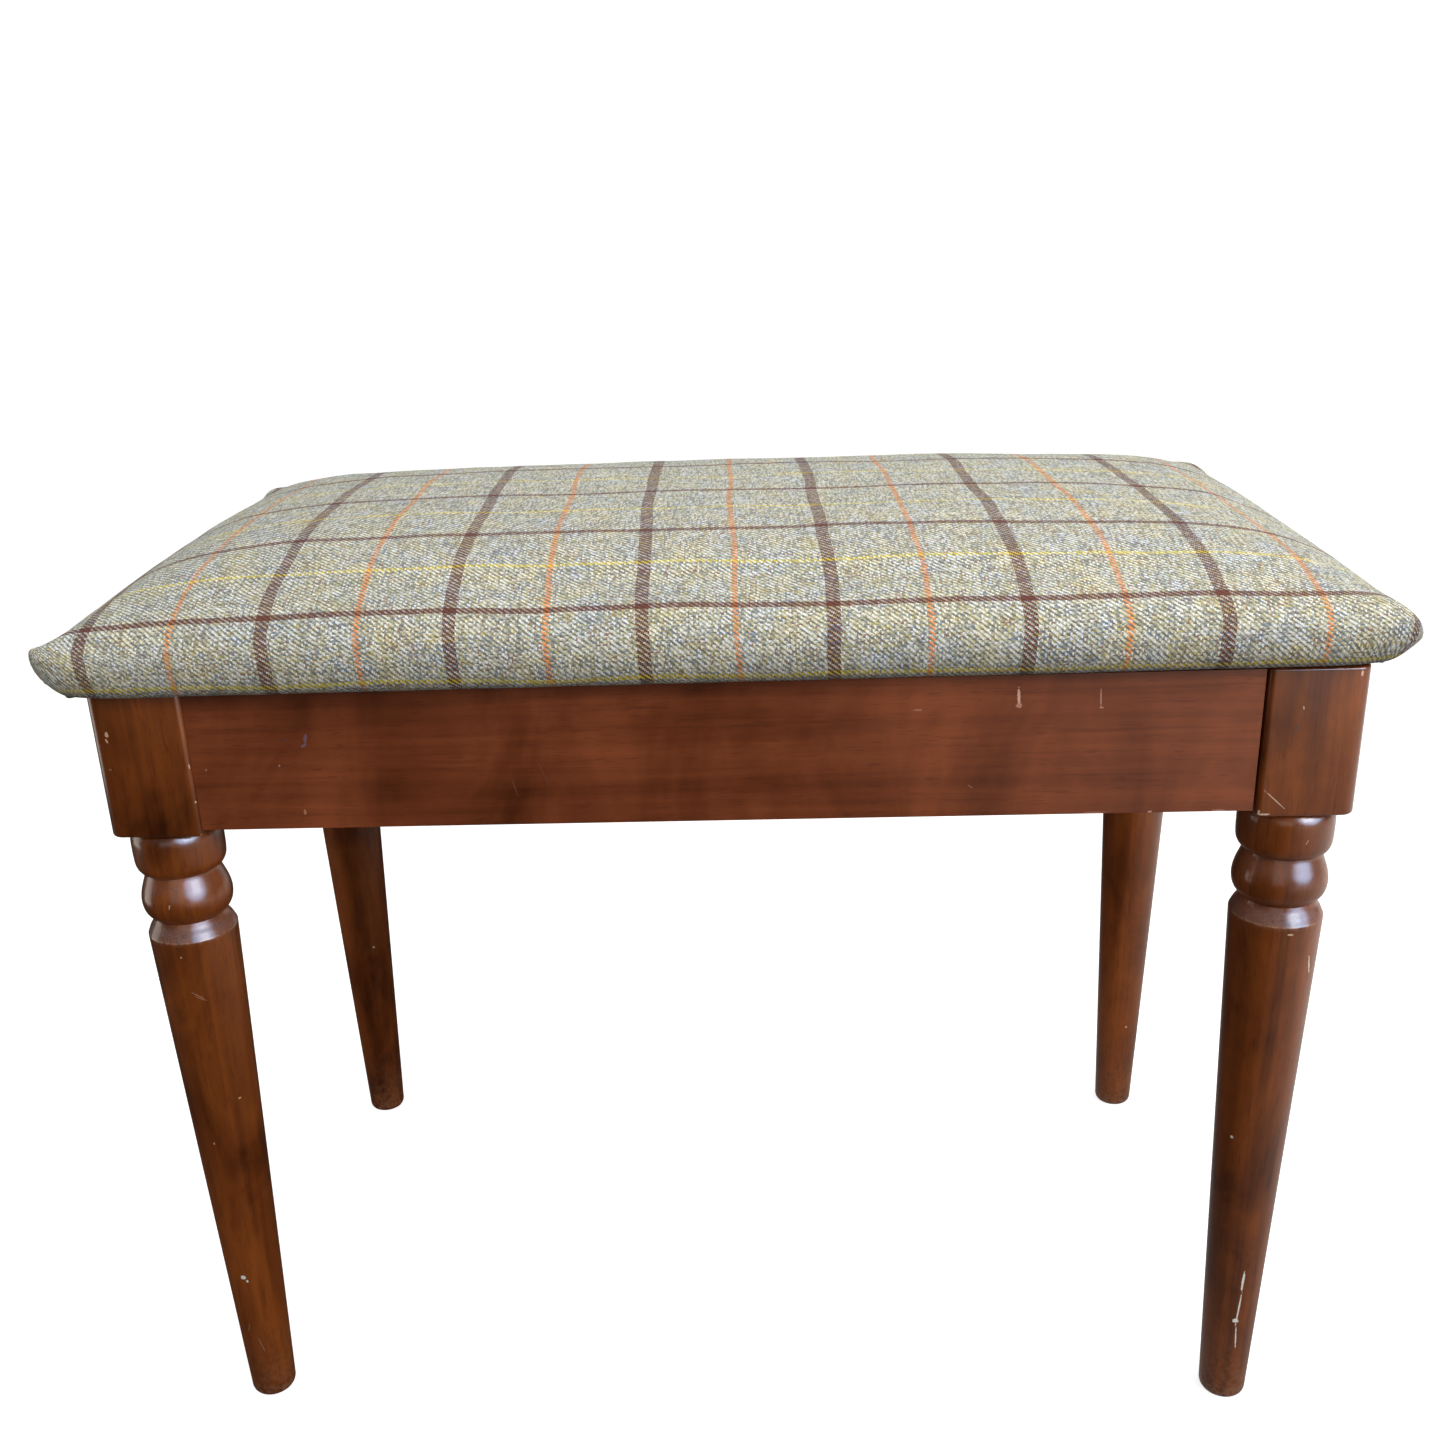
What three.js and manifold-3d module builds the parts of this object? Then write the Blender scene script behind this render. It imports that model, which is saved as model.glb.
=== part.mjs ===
// A piano bench with a hinged, upholstered lid over a shallow music compartment.
// Millimetres, +Z up, +X to the player's right, -Y the front. The origin is on the
// floor, under the middle of the bench.
import * as THREE from 'three';
import { mergeVertices } from 'three/addons/utils/BufferGeometryUtils.js';
import Module from 'manifold-3d';

const wasm = await Module();
wasm.setup();

// ---------------------------------------------------------------- driving dimensions
const WIDTH = 604.4;          // over the leg blocks, left to right
const DEPTH = 344.4;          // over the leg blocks, front to back
const BLOCK = 46.7;           // side of the square block at the top of each leg
const BLOCK_TOP = 440;
const BLOCK_BOTTOM = 366;
const BLOCK_ROUND = 7;        // the block's outer vertical edge
const BLOCK_EDGE = 2.4;       // its other vertical edges
const BLOCK_BEVEL = 1.8;      // top and bottom edges
const BLOCK_CHAMFER = 8;      // flat on the block's inner corner, where the bolt enters

const APRON_THICK = 18;
const APRON_RECESS = 2.3;     // the apron's face lies this far behind the blocks' faces
const APRON_BOTTOM = 368.8;
const APRON_TOP = 439.2;
const JOINT_GAP = 0.3;        // apron end to leg block
const OPEN_JOINT_GAP = 1.3;   // the front apron's right end, where the joint has opened
const INNER_X = WIDTH / 2 - APRON_RECESS - APRON_THICK;
const INNER_Y = DEPTH / 2 - APRON_RECESS - APRON_THICK;

const FLOOR_THICK = 4;
const FLOOR_BOTTOM = 379.5;
const GROOVE_DEPTH = 5;
const GROOVE_PLAY = 0.3;

const BRACE_REACH = 60;       // from the compartment's corner to each end of the brace
const BRACE_THICK = 2;
const BRACE_BEND = 1.6;       // the bend stands this far off the apron's inner face
const BRACE_LIP = 4.4;        // how far each lip goes into its saw kerf
const BRACE_BOTTOM = 395;
const BRACE_TOP = 425;
const KERF_PLAY = 0.35;
const BOLT_Z = (BRACE_BOTTOM + BRACE_TOP) / 2;
const BOLT_RADIUS = 4;
const BOLT_START = 4;         // along the diagonal, measured from the compartment's corner
const BOLT_END = 60;
const RUNNING_PLAY = 0.3;

const HINGE_X = 190;          // middle of each hinge, left and right
const HINGE_LENGTH = 60;
const HINGE_WIDTH = 20.6;     // leaf's front edge to the pin's axis
const HINGE_Y = DEPTH / 2 + 0.9;
const HINGE_Z = 439;
const KNUCKLE_RADIUS = 2.3;
const PIN_RADIUS = 1;
const PIN_PLAY = 0.08;
const LEAF_THICK = 0.85;
const BOX_LEAF_RISE = 0.35;   // leaf's underside above the pin's axis
const LID_LEAF_RISE = 1.45;
const HINGE_SCREW_SPREAD = 20;
const HINGE_SCREW_Y = 161;

const SCREW_HEAD = 2.7;
const SCREW_LENGTH = 10;
const SCREW_PLAY = 0.2;

const STAY_PIVOT = { y: 80, z: 401 };        // lower arm on the box
const STAY_ELBOW = { y: 10, z: 401 };        // with the lid closed
const STAY_LID_PIVOT = { y: 90.5, z: 434.5 };
const ARM_WIDTH = 12;
const ARM_THICK = 2;
const ARM_HOLE = 2.1;
const RIVET_RADIUS = 2;
const RIVET_HEAD = 3.8;
const RIVET_HEAD_THICK = 1.2;
const STAY_SCREW_Z = [413, 425];
const STAY_SCREW_X = [260, 269];

const LID_HALF_X = 322;
const LID_HALF_Y = 188;
const LID_UNDERSIDE = 441.4;
const LID_BULGE_Z = 455;      // where the padded edge stands out furthest
const CROWN_Z = 498;
const FABRIC = 1;
const LID_CORNER = 20;
const TURN_UNDER = 34;        // width of the fabric border on the underside
const BOARD_THICK = 12;
const BOARD_INSET = 8;
const BOARD_BOTTOM = LID_UNDERSIDE + FABRIC + 0.2;
const SOFT_GAP = 0.3;

const BUMPER_RADIUS = 6;
const BUMPER_THICK = 1.2;

const ROUND = 22;             // sides on the turned legs
const SMALL_ROUND = 10;       // sides on small hardware
const BARREL_ROUND = 12;      // sides on hinge barrels, pins and their holes

// ---------------------------------------------------------------- materials
const material = (color, roughness, metalness = 0) =>
  new THREE.MeshStandardMaterial({ color, roughness, metalness });
const STAINED = material(0x5a2a16, 0.38);
const PANEL = material(0xa8845c, 0.7);
const PLY = material(0xb08c62, 0.75);
const TWEED = material(0x77775f, 0.95);
const FOAM = material(0xd9cf9a, 0.95);
const CAMBRIC = material(0x1c1c1d, 0.95);
const ZINC = material(0xa7a9a8, 0.4, 0.9);
const BRASS = material(0x9a7a3c, 0.35, 0.9);
const FELT = material(0x3c4036, 0.95);

// ---------------------------------------------------------------- solids and cuts
function toSolid(geometry) {
  const bare = geometry.index ? geometry.toNonIndexed() : geometry.clone();
  bare.deleteAttribute('normal');
  bare.deleteAttribute('uv');
  const merged = mergeVertices(bare, 1e-4);
  return new wasm.Manifold(new wasm.Mesh({
    numProp: 3,
    vertProperties: new Float32Array(merged.attributes.position.array),
    triVerts: new Uint32Array(merged.index.array),
  }));
}

function toGeometry(solid) {
  const mesh = solid.getMesh();
  const geometry = new THREE.BufferGeometry();
  geometry.setAttribute('position', new THREE.BufferAttribute(mesh.vertProperties, 3));
  geometry.setIndex(new THREE.BufferAttribute(mesh.triVerts, 1));
  geometry.computeVertexNormals();
  return geometry;
}

const join = (...geometries) =>
  toGeometry(geometries.map(toSolid).reduce((whole, piece) => whole.add(piece)));
const cut = (body, ...tools) =>
  toGeometry(tools.map(toSolid).reduce((left, tool) => left.subtract(tool), toSolid(body)));

function block(low, high) {
  const size = high.map((value, i) => value - low[i]);
  const middle = high.map((value, i) => (value + low[i]) / 2);
  return new THREE.BoxGeometry(...size).translate(...middle);
}

// A solid turned about +Z from [radius, height] points, lowest first, ending on the axis.
function turned(profile, sides = SMALL_ROUND) {
  const points = profile.map(([radius, height]) => new THREE.Vector2(radius, height));
  return new THREE.LatheGeometry(points, sides).rotateX(Math.PI / 2);
}

// A ring turned about +Z: the profile closes on itself.
const ring = (inner, outer, low, high, sides = 14) =>
  turned([[inner, low], [outer, low], [outer, high], [inner, high], [inner, low]], sides);

const rodZ = (radius, low, high, sides = SMALL_ROUND) =>
  turned([[0, low], [radius, low], [radius, high], [0, high]], sides);
const rodX = (radius, low, high, sides = SMALL_ROUND) =>
  rodZ(radius, low, high, sides).rotateY(Math.PI / 2);

function extrude(shape, low, high, curveSegments = 6) {
  return new THREE.ExtrudeGeometry(shape, { depth: high - low, bevelEnabled: false, curveSegments })
    .translate(0, 0, low);
}

// Turns a shape drawn in (y, z) and extruded along +Z into one extruded along +X.
const standAlongX = (geometry) =>
  geometry.applyMatrix4(new THREE.Matrix4().set(
    0, 0, 1, 0,
    1, 0, 0, 0,
    0, 1, 0, 0,
    0, 0, 0, 1));

function roundedRectangle(halfX, halfY, radii) {
  const [r0, r1, r2, r3] = radii;   // corners (+x,+y), (-x,+y), (-x,-y), (+x,-y)
  const shape = new THREE.Shape();
  shape.moveTo(halfX, -halfY + r3);
  shape.lineTo(halfX, halfY - r0);
  shape.absarc(halfX - r0, halfY - r0, r0, 0, Math.PI / 2);
  shape.absarc(-halfX + r1, halfY - r1, r1, Math.PI / 2, Math.PI);
  shape.absarc(-halfX + r2, -halfY + r2, r2, Math.PI, Math.PI * 1.5);
  shape.absarc(halfX - r3, -halfY + r3, r3, Math.PI * 1.5, Math.PI * 2);
  return shape;
}

const nodes = new THREE.Group();

function add(parent, name, geometry, look) {
  const mesh = new THREE.Mesh(geometry, look);
  mesh.name = name;
  parent.add(mesh);
  return mesh;
}

// ---------------------------------------------------------------- screws
// A countersunk wood screw, head up at the origin; play makes the hole that takes it.
function screw(play = 0) {
  const top = play > 0 ? 2 : 0;
  return turned([
    [0, -SCREW_LENGTH - play],
    [1.3 + play, -SCREW_LENGTH + 2],
    [1.45 + play, -1.6 - play],
    [SCREW_HEAD + play, -0.3],
    [SCREW_HEAD + play, top],
    [0, top],
  ]);
}
const screwHole = () => screw(SCREW_PLAY);
const pointDown = (geometry) => geometry;
const pointUp = (geometry) => geometry.rotateX(Math.PI);
const pointRight = (geometry) => geometry.rotateY(-Math.PI / 2);

// ---------------------------------------------------------------- legs
const TURNING_OFFSET = 0.85;  // the block is this much off the turned axis, outwards on both faces
const LEG_CENTRE = WIDTH / 2 - BLOCK / 2 - TURNING_OFFSET;
const LEG_INSET = INNER_X - LEG_CENTRE;     // the same left to right and front to back
const DIAGONAL = -Math.PI * 0.75;           // from a corner towards the middle of the bench

function legBlock() {
  const half = BLOCK / 2;
  const outline = new THREE.Shape();
  const r = BLOCK_ROUND;
  const e = BLOCK_EDGE;
  outline.moveTo(half, -half + e);
  outline.lineTo(half, half - r);
  outline.absarc(half - r, half - r, r, 0, Math.PI / 2);
  outline.absarc(-half + e, half - e, e, Math.PI / 2, Math.PI);
  outline.lineTo(-half, -half + BLOCK_CHAMFER);
  outline.lineTo(-half + BLOCK_CHAMFER, -half);
  outline.absarc(half - e, -half + e, e, Math.PI * 1.5, Math.PI * 2);
  return new THREE.ExtrudeGeometry(outline, {
    depth: BLOCK_TOP - BLOCK_BOTTOM - 2 * BLOCK_BEVEL,
    bevelEnabled: true,
    bevelThickness: BLOCK_BEVEL,
    bevelSize: BLOCK_BEVEL,
    bevelOffset: -BLOCK_BEVEL,
    bevelSegments: 2,
    curveSegments: 4,
  }).translate(TURNING_OFFSET, TURNING_OFFSET, BLOCK_BOTTOM + BLOCK_BEVEL);
}

// Foot, long taper, shoulder and cove, bell-shaped bead, collar. It ends inside the block.
function legTurning() {
  return turned([
    [0, 0], [9.4, 0], [11.8, 1.2], [12.6, 3.6],
    [22.6, 306], [21.8, 308.6], [19.5, 311.6], [18.4, 315],
    [19.7, 316.4], [22, 320], [22.8, 325], [22, 330], [20.1, 335], [18.9, 339.6],
    [19.3, 341.4], [21.6, 343], [22.8, 346.5], [22.9, 359], [21.8, 363.6], [18.7, 367],
    [18.5, 372], [0, 372],
  ], ROUND);
}

function legGeometry() {
  const hole = rodX(BOLT_RADIUS + RUNNING_PLAY, BOLT_START - RUNNING_PLAY, BOLT_END)
    .rotateZ(DIAGONAL)
    .translate(LEG_INSET, LEG_INSET, BOLT_Z);
  return cut(join(legTurning(), legBlock()), hole);
}

// ---------------------------------------------------------------- aprons
function kerf(alongX, position, face) {
  const half = BRACE_THICK / 2 + KERF_PLAY;
  const depth = BRACE_LIP + 2 * KERF_PLAY;
  const inside = face - Math.sign(face);
  const bottom = face + Math.sign(face) * depth;
  const [near, far] = [Math.min(inside, bottom), Math.max(inside, bottom)];
  const [z0, z1] = [BRACE_BOTTOM - KERF_PLAY, BRACE_TOP + KERF_PLAY];
  return alongX
    ? block([position - half, near, z0], [position + half, far, z1])
    : block([near, position - half, z0], [far, position + half, z1]);
}

function groove(alongX, face) {
  const inside = face - Math.sign(face);
  const bottom = face + Math.sign(face) * GROOVE_DEPTH;
  const [near, far] = [Math.min(inside, bottom), Math.max(inside, bottom)];
  const [z0, z1] = [FLOOR_BOTTOM - GROOVE_PLAY, FLOOR_BOTTOM + FLOOR_THICK + GROOVE_PLAY];
  return alongX
    ? block([-WIDTH, near, z0], [WIDTH, far, z1])
    : block([near, -DEPTH, z0], [far, DEPTH, z1]);
}

function longApron(side, leftGap, rightGap, extraCuts = []) {
  const reach = WIDTH / 2 - BLOCK;
  const face = side * INNER_Y;
  const outer = side * (DEPTH / 2 - APRON_RECESS);
  const board = block(
    [-reach + leftGap, Math.min(face, outer), APRON_BOTTOM],
    [reach - rightGap, Math.max(face, outer), APRON_TOP]);
  const at = INNER_X - BRACE_REACH;
  return cut(board, groove(true, face), kerf(true, at, face), kerf(true, -at, face), ...extraCuts);
}

function shortApron(side, extraCuts = []) {
  const reach = DEPTH / 2 - BLOCK - JOINT_GAP;
  const face = side * INNER_X;
  const outer = side * (WIDTH / 2 - APRON_RECESS);
  const board = block(
    [Math.min(face, outer), -reach, APRON_BOTTOM],
    [Math.max(face, outer), reach, APRON_TOP]);
  const at = INNER_Y - BRACE_REACH;
  return cut(board, groove(false, face), kerf(false, at, face), kerf(false, -at, face), ...extraCuts);
}

// ---------------------------------------------------------------- compartment floor
function compartmentFloor() {
  const halfX = INNER_X + GROOVE_DEPTH - GROOVE_PLAY;
  const halfY = INNER_Y + GROOVE_DEPTH - GROOVE_PLAY;
  const notchX = WIDTH / 2 - BLOCK - JOINT_GAP;
  const notchY = DEPTH / 2 - BLOCK - JOINT_GAP;
  const shape = new THREE.Shape([
    [halfX, -notchY], [halfX, notchY], [notchX, notchY], [notchX, halfY],
    [-notchX, halfY], [-notchX, notchY], [-halfX, notchY], [-halfX, -notchY],
    [-notchX, -notchY], [-notchX, -halfY], [notchX, -halfY], [notchX, -notchY],
  ].map(([x, y]) => new THREE.Vector2(x, y)));
  return extrude(shape, FLOOR_BOTTOM, FLOOR_BOTTOM + FLOOR_THICK);
}

// ---------------------------------------------------------------- corner hardware
// Everything here is drawn with the compartment's corner at the origin and the middle of
// the bench towards -X and -Y.
function thickPath(points, thickness) {
  const line = points.map(([x, y]) => new THREE.Vector2(x, y));
  const sideOf = (a, b) => {
    const along = b.clone().sub(a).normalize();
    return new THREE.Vector2(-along.y, along.x);
  };
  const offsets = line.map((point, i) => {
    const before = i > 0 ? sideOf(line[i - 1], point) : sideOf(point, line[i + 1]);
    const after = i < line.length - 1 ? sideOf(point, line[i + 1]) : before;
    const middle = before.clone().add(after).normalize();
    return middle.multiplyScalar(thickness / 2 / middle.dot(before));
  });
  const left = line.map((point, i) => point.clone().add(offsets[i]));
  const right = line.map((point, i) => point.clone().sub(offsets[i])).reverse();
  return new THREE.Shape([...right, ...left]);
}

function braceGeometry() {
  const path = thickPath([
    [BRACE_LIP, -BRACE_REACH], [-BRACE_BEND, -BRACE_REACH],
    [-BRACE_REACH, -BRACE_BEND], [-BRACE_REACH, BRACE_LIP],
  ], BRACE_THICK);
  const hole = rodX(BOLT_RADIUS + 2 * RUNNING_PLAY, BOLT_START, BOLT_END)
    .rotateZ(DIAGONAL)
    .translate(0, 0, BOLT_Z);
  return cut(extrude(path, BRACE_BOTTOM, BRACE_TOP), hole);
}

// Along the diagonal, the brace's near face, washer and wing nut follow each other.
const BRACE_FACE = (BRACE_REACH + BRACE_BEND) / Math.SQRT2 + BRACE_THICK / 2;
const WASHER_START = BRACE_FACE + 0.1;
const WASHER_END = WASHER_START + 1.2;
const NUT_START = WASHER_END + 0.1;
const NUT_LENGTH = 7;

function boltGeometry() {
  return rodX(BOLT_RADIUS, BOLT_START, BOLT_END);
}

function washerGeometry() {
  return ring(BOLT_RADIUS + RUNNING_PLAY, 9, WASHER_START, WASHER_END).rotateY(Math.PI / 2);
}

function wingNutGeometry() {
  const hub = turned([
    [0, NUT_START], [7, NUT_START], [5.6, NUT_START + NUT_LENGTH], [0, NUT_START + NUT_LENGTH],
  ], 16).rotateY(Math.PI / 2);
  const wing = new THREE.Shape();       // drawn in (along the bolt, away from it)
  wing.moveTo(NUT_START + 1.5, 3);
  wing.lineTo(NUT_START + 5, 8);
  wing.absarc(NUT_START + 9, 12, 3.6, Math.PI * 0.9, -Math.PI * 0.25, true);
  wing.lineTo(NUT_START + NUT_LENGTH - 0.5, 3);
  const plate = extrude(wing, -1.4, 1.4, 4);
  const up = plate.clone().rotateX(Math.PI / 2);
  const down = up.clone().rotateX(Math.PI);
  const hole = rodX(BOLT_RADIUS + RUNNING_PLAY, 0, 2 * BOLT_END);
  return cut(join(hub, up, down), hole);
}

// ---------------------------------------------------------------- lid hinges
// Drawn with the pin's axis through the origin, along X, and the leaves towards -Y.
const SCREW_OFFSET_Y = HINGE_SCREW_Y - HINGE_Y;

function leafGeometry(rise, knuckles, plateEdge, turnScrew) {
  const half = HINGE_LENGTH / 2;
  let leaf = block([-half, -HINGE_WIDTH, rise], [half, plateEdge, rise + LEAF_THICK]);
  for (const [low, high] of knuckles) {
    leaf = join(leaf,
      block([low, plateEdge - 0.5, rise], [high, 0, rise + LEAF_THICK]),
      rodX(KNUCKLE_RADIUS, low, high, BARREL_ROUND));
  }
  const holes = [-HINGE_SCREW_SPREAD, HINGE_SCREW_SPREAD].map((x) =>
    turnScrew(screwHole()).translate(x, SCREW_OFFSET_Y, rise + (turnScrew === pointUp ? 0 : LEAF_THICK)));
  return cut(leaf, rodX(PIN_RADIUS + PIN_PLAY, -HINGE_LENGTH, HINGE_LENGTH, BARREL_ROUND), ...holes);
}

const KNUCKLE_GAP = 0.3;
const THIRD = HINGE_LENGTH / 6;
const PLATE_EDGE = -KNUCKLE_RADIUS - 0.3;
const boxLeaf = () => leafGeometry(BOX_LEAF_RISE,
  [[-HINGE_LENGTH / 2, -THIRD - KNUCKLE_GAP], [THIRD + KNUCKLE_GAP, HINGE_LENGTH / 2]],
  PLATE_EDGE, pointDown);
const lidLeaf = () => leafGeometry(LID_LEAF_RISE, [[-THIRD, THIRD]], PLATE_EDGE, pointUp);

const hingeScrewSpots = [-1, 1].flatMap((side) =>
  [-HINGE_SCREW_SPREAD, HINGE_SCREW_SPREAD].map((offset) => side * HINGE_X + offset));
const BOX_SCREW_Z = HINGE_Z + BOX_LEAF_RISE + LEAF_THICK;
const LID_SCREW_Z = HINGE_Z + LID_LEAF_RISE;

// ---------------------------------------------------------------- lid stay
// Two arms beside the right apron. From the apron inwards: box plate, lower arm, upper
// arm, lid plate. Each layer is [outer x, inner x].
const PLATE_THICK = 1.6;
const BOX_PLATE_X = [INNER_X - 0.2, INNER_X - 0.2 - PLATE_THICK];
const LOWER_ARM_X = [BOX_PLATE_X[1] - 0.3, BOX_PLATE_X[1] - 0.3 - ARM_THICK];
const UPPER_ARM_X = [LOWER_ARM_X[1] - 0.4, LOWER_ARM_X[1] - 0.4 - ARM_THICK];
const LID_PLATE_X = [UPPER_ARM_X[1] - 0.3, UPPER_ARM_X[1] - 0.3 - PLATE_THICK];

function armGeometry(from, to, layer) {
  const along = Math.atan2(to.z - from.z, to.y - from.y);
  const length = Math.hypot(to.z - from.z, to.y - from.y);
  const shape = new THREE.Shape();
  const r = ARM_WIDTH / 2;
  shape.absarc(0, 0, r, Math.PI / 2, Math.PI * 1.5);
  shape.absarc(length, 0, r, -Math.PI / 2, Math.PI / 2);
  for (const x of [0, length]) {
    const hole = new THREE.Path();
    hole.absarc(x, 0, ARM_HOLE, 0, Math.PI * 2, true);
    shape.holes.push(hole);
  }
  const flat = extrude(shape, layer[1], layer[0], 8)
    .rotateZ(along)
    .translate(from.y, from.z, 0);
  return standAlongX(flat);
}

function boxPlateGeometry() {
  const shape = roundedRectangle(7, 19, [3, 3, 3, 3]);
  const plate = standAlongX(extrude(shape, BOX_PLATE_X[1], BOX_PLATE_X[0], 3)
    .translate(STAY_PIVOT.y, STAY_PIVOT.z + 11, 0));
  const pivotHole = rodX(ARM_HOLE, 0, WIDTH).translate(0, STAY_PIVOT.y, STAY_PIVOT.z);
  return cut(plate, pivotHole, ...boxPlateScrewSpots.map((spot) => pointRight(screwHole()).translate(...spot)));
}
const boxPlateScrewSpots = STAY_SCREW_Z.map((z) => [BOX_PLATE_X[1], STAY_PIVOT.y, z]);

function lidPlateGeometry() {
  const { y, z } = STAY_LID_PIVOT;
  const top = LID_UNDERSIDE - 0.1;
  const half = 10;
  const shape = new THREE.Shape();
  shape.moveTo(y - half, top);
  shape.lineTo(y - half, z + 4);
  shape.absarc(y, z, 6, Math.PI, Math.PI * 2);
  shape.lineTo(y + half, z + 4);
  shape.lineTo(y + half, top);
  const upright = standAlongX(extrude(shape, LID_PLATE_X[1], LID_PLATE_X[0], 8));
  const flange = block([STAY_SCREW_X[0] - 5, y - half, top - 1.3], [LID_PLATE_X[0], y + half, top]);
  const pivotHole = rodX(ARM_HOLE, 0, WIDTH).translate(0, y, z);
  return cut(join(upright, flange), pivotHole,
    ...lidPlateScrewSpots.map((spot) => pointUp(screwHole()).translate(...spot)));
}
const lidPlateScrewSpots = STAY_SCREW_X.map((x) =>
  [x, STAY_LID_PIVOT.y, LID_UNDERSIDE - 0.1 - 1.3]);

const RIVET_PLAY = 0.1;

// A rivet along X through the layers from outer to inner, with a head at either end.
function rivetGeometry(outer, inner, outerHead, innerHead) {
  const pieces = [rodX(RIVET_RADIUS, inner, outer)];
  if (outerHead) pieces.push(rodX(RIVET_HEAD, outer - 0.01, outer + RIVET_HEAD_THICK));
  if (innerHead) pieces.push(rodX(RIVET_HEAD, inner - RIVET_HEAD_THICK, inner + 0.01));
  return join(...pieces);
}

// ---------------------------------------------------------------- upholstered lid
// How high the top surface stands at a distance inside the lid's outline.
const CROWN = [
  [0, LID_BULGE_Z], [3, 464], [8, 469.6], [16, 474.8], [30, 481], [50, 487], [75, 491.8],
  [100, 494.8], [130, 496.9], [172, CROWN_Z],
];

// One level outline of the lid, as rounded-rectangle points.
function outlineRing(inset, z, cornerSteps = 3) {
  const halfX = LID_HALF_X - inset;
  const halfY = LID_HALF_Y - inset;
  const r = Math.max(LID_CORNER - inset * 0.5, Math.min(4, halfY * 0.9));
  const points = [];
  for (let quarter = 0; quarter < 4; quarter += 1) {
    const sx = quarter === 0 || quarter === 3 ? 1 : -1;
    const sy = quarter < 2 ? 1 : -1;
    for (let step = 0; step <= cornerSteps; step += 1) {
      const angle = (quarter + step / cornerSteps) * Math.PI / 2;
      points.push([
        sx * (halfX - r) + r * Math.cos(angle),
        sy * (halfY - r) + r * Math.sin(angle),
        z,
      ]);
    }
  }
  return points;
}

// A closed solid through level rings of equal length: capped at both ends.
function loft(rings) {
  const count = rings[0].length;
  const positions = rings.flat(2);
  const index = [];
  for (let level = 0; level < rings.length - 1; level += 1) {
    for (let i = 0; i < count; i += 1) {
      const next = (i + 1) % count;
      const [a, b] = [level * count + i, level * count + next];
      const [c, d] = [a + count, b + count];
      index.push(a, c, b, b, c, d);
    }
  }
  const last = (rings.length - 1) * count;
  for (let i = 1; i < count - 1; i += 1) {
    index.push(0, i, i + 1);
    index.push(last, last + i + 1, last + i);
  }
  const geometry = new THREE.BufferGeometry();
  geometry.setAttribute('position', new THREE.Float32BufferAttribute(positions, 3));
  geometry.setIndex(index);
  geometry.computeVertexNormals();
  return geometry;
}

// Rings from the crown down to the bulge, set in by the same amount all over.
const crownRings = (shrink) =>
  [...CROWN].reverse().map(([inset, z]) => outlineRing(inset + shrink, z - shrink));

function coverGeometry() {
  const border = TURN_UNDER;
  const inside = FABRIC;
  return cut(loft([
    ...crownRings(0),
    outlineRing(1, 448),
    outlineRing(3.2, 443.2),
    outlineRing(6, LID_UNDERSIDE),
    outlineRing(border, LID_UNDERSIDE),
    outlineRing(border, LID_UNDERSIDE + inside),
    outlineRing(6 + inside, LID_UNDERSIDE + inside),
    outlineRing(1 + inside, 448),
    ...crownRings(inside).reverse(),
  ]), ...lidHingeScrewHoles());
}

function lidHingeScrewHoles() {
  return hingeScrewSpots.map((x) => pointUp(screwHole()).translate(x, HINGE_SCREW_Y, LID_SCREW_Z));
}

function stayScrewHoles() {
  return lidPlateScrewSpots.map((spot) => pointUp(screwHole()).translate(...spot));
}

function boardGeometry() {
  const outline = roundedRectangle(LID_HALF_X - BOARD_INSET, LID_HALF_Y - BOARD_INSET,
    [14, 14, 14, 14]);
  const board = extrude(outline, BOARD_BOTTOM, BOARD_BOTTOM + BOARD_THICK, 4);
  return cut(board, ...lidHingeScrewHoles(), ...stayScrewHoles());
}

function foamGeometry() {
  const shrink = FABRIC + SOFT_GAP;
  const base = BOARD_BOTTOM + BOARD_THICK + 0.2;
  const above = crownRings(shrink).filter((level) => level[0][2] > base + 1);
  return loft([...above, outlineRing(shrink + 1, base)]);
}

function dustCoverGeometry() {
  const half = [LID_HALF_X - TURN_UNDER - 1, LID_HALF_Y - TURN_UNDER - 1];
  const sheet = extrude(roundedRectangle(...half, [6, 6, 6, 6]),
    LID_UNDERSIDE + 0.2, LID_UNDERSIDE + FABRIC, 2);
  return cut(sheet, ...stayScrewHoles());
}

// ---------------------------------------------------------------- assembly
const leg = legGeometry();
const brace = braceGeometry();
const bolt = boltGeometry();
const washer = washerGeometry();
const wingNut = wingNutGeometry();

const CORNERS = [
  { name: 'rear_right', sx: 1, sy: 1, quarterTurns: 0 },
  { name: 'rear_left', sx: -1, sy: 1, quarterTurns: 1 },
  { name: 'front_left', sx: -1, sy: -1, quarterTurns: 2 },
  { name: 'front_right', sx: 1, sy: -1, quarterTurns: 3 },
];

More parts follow.
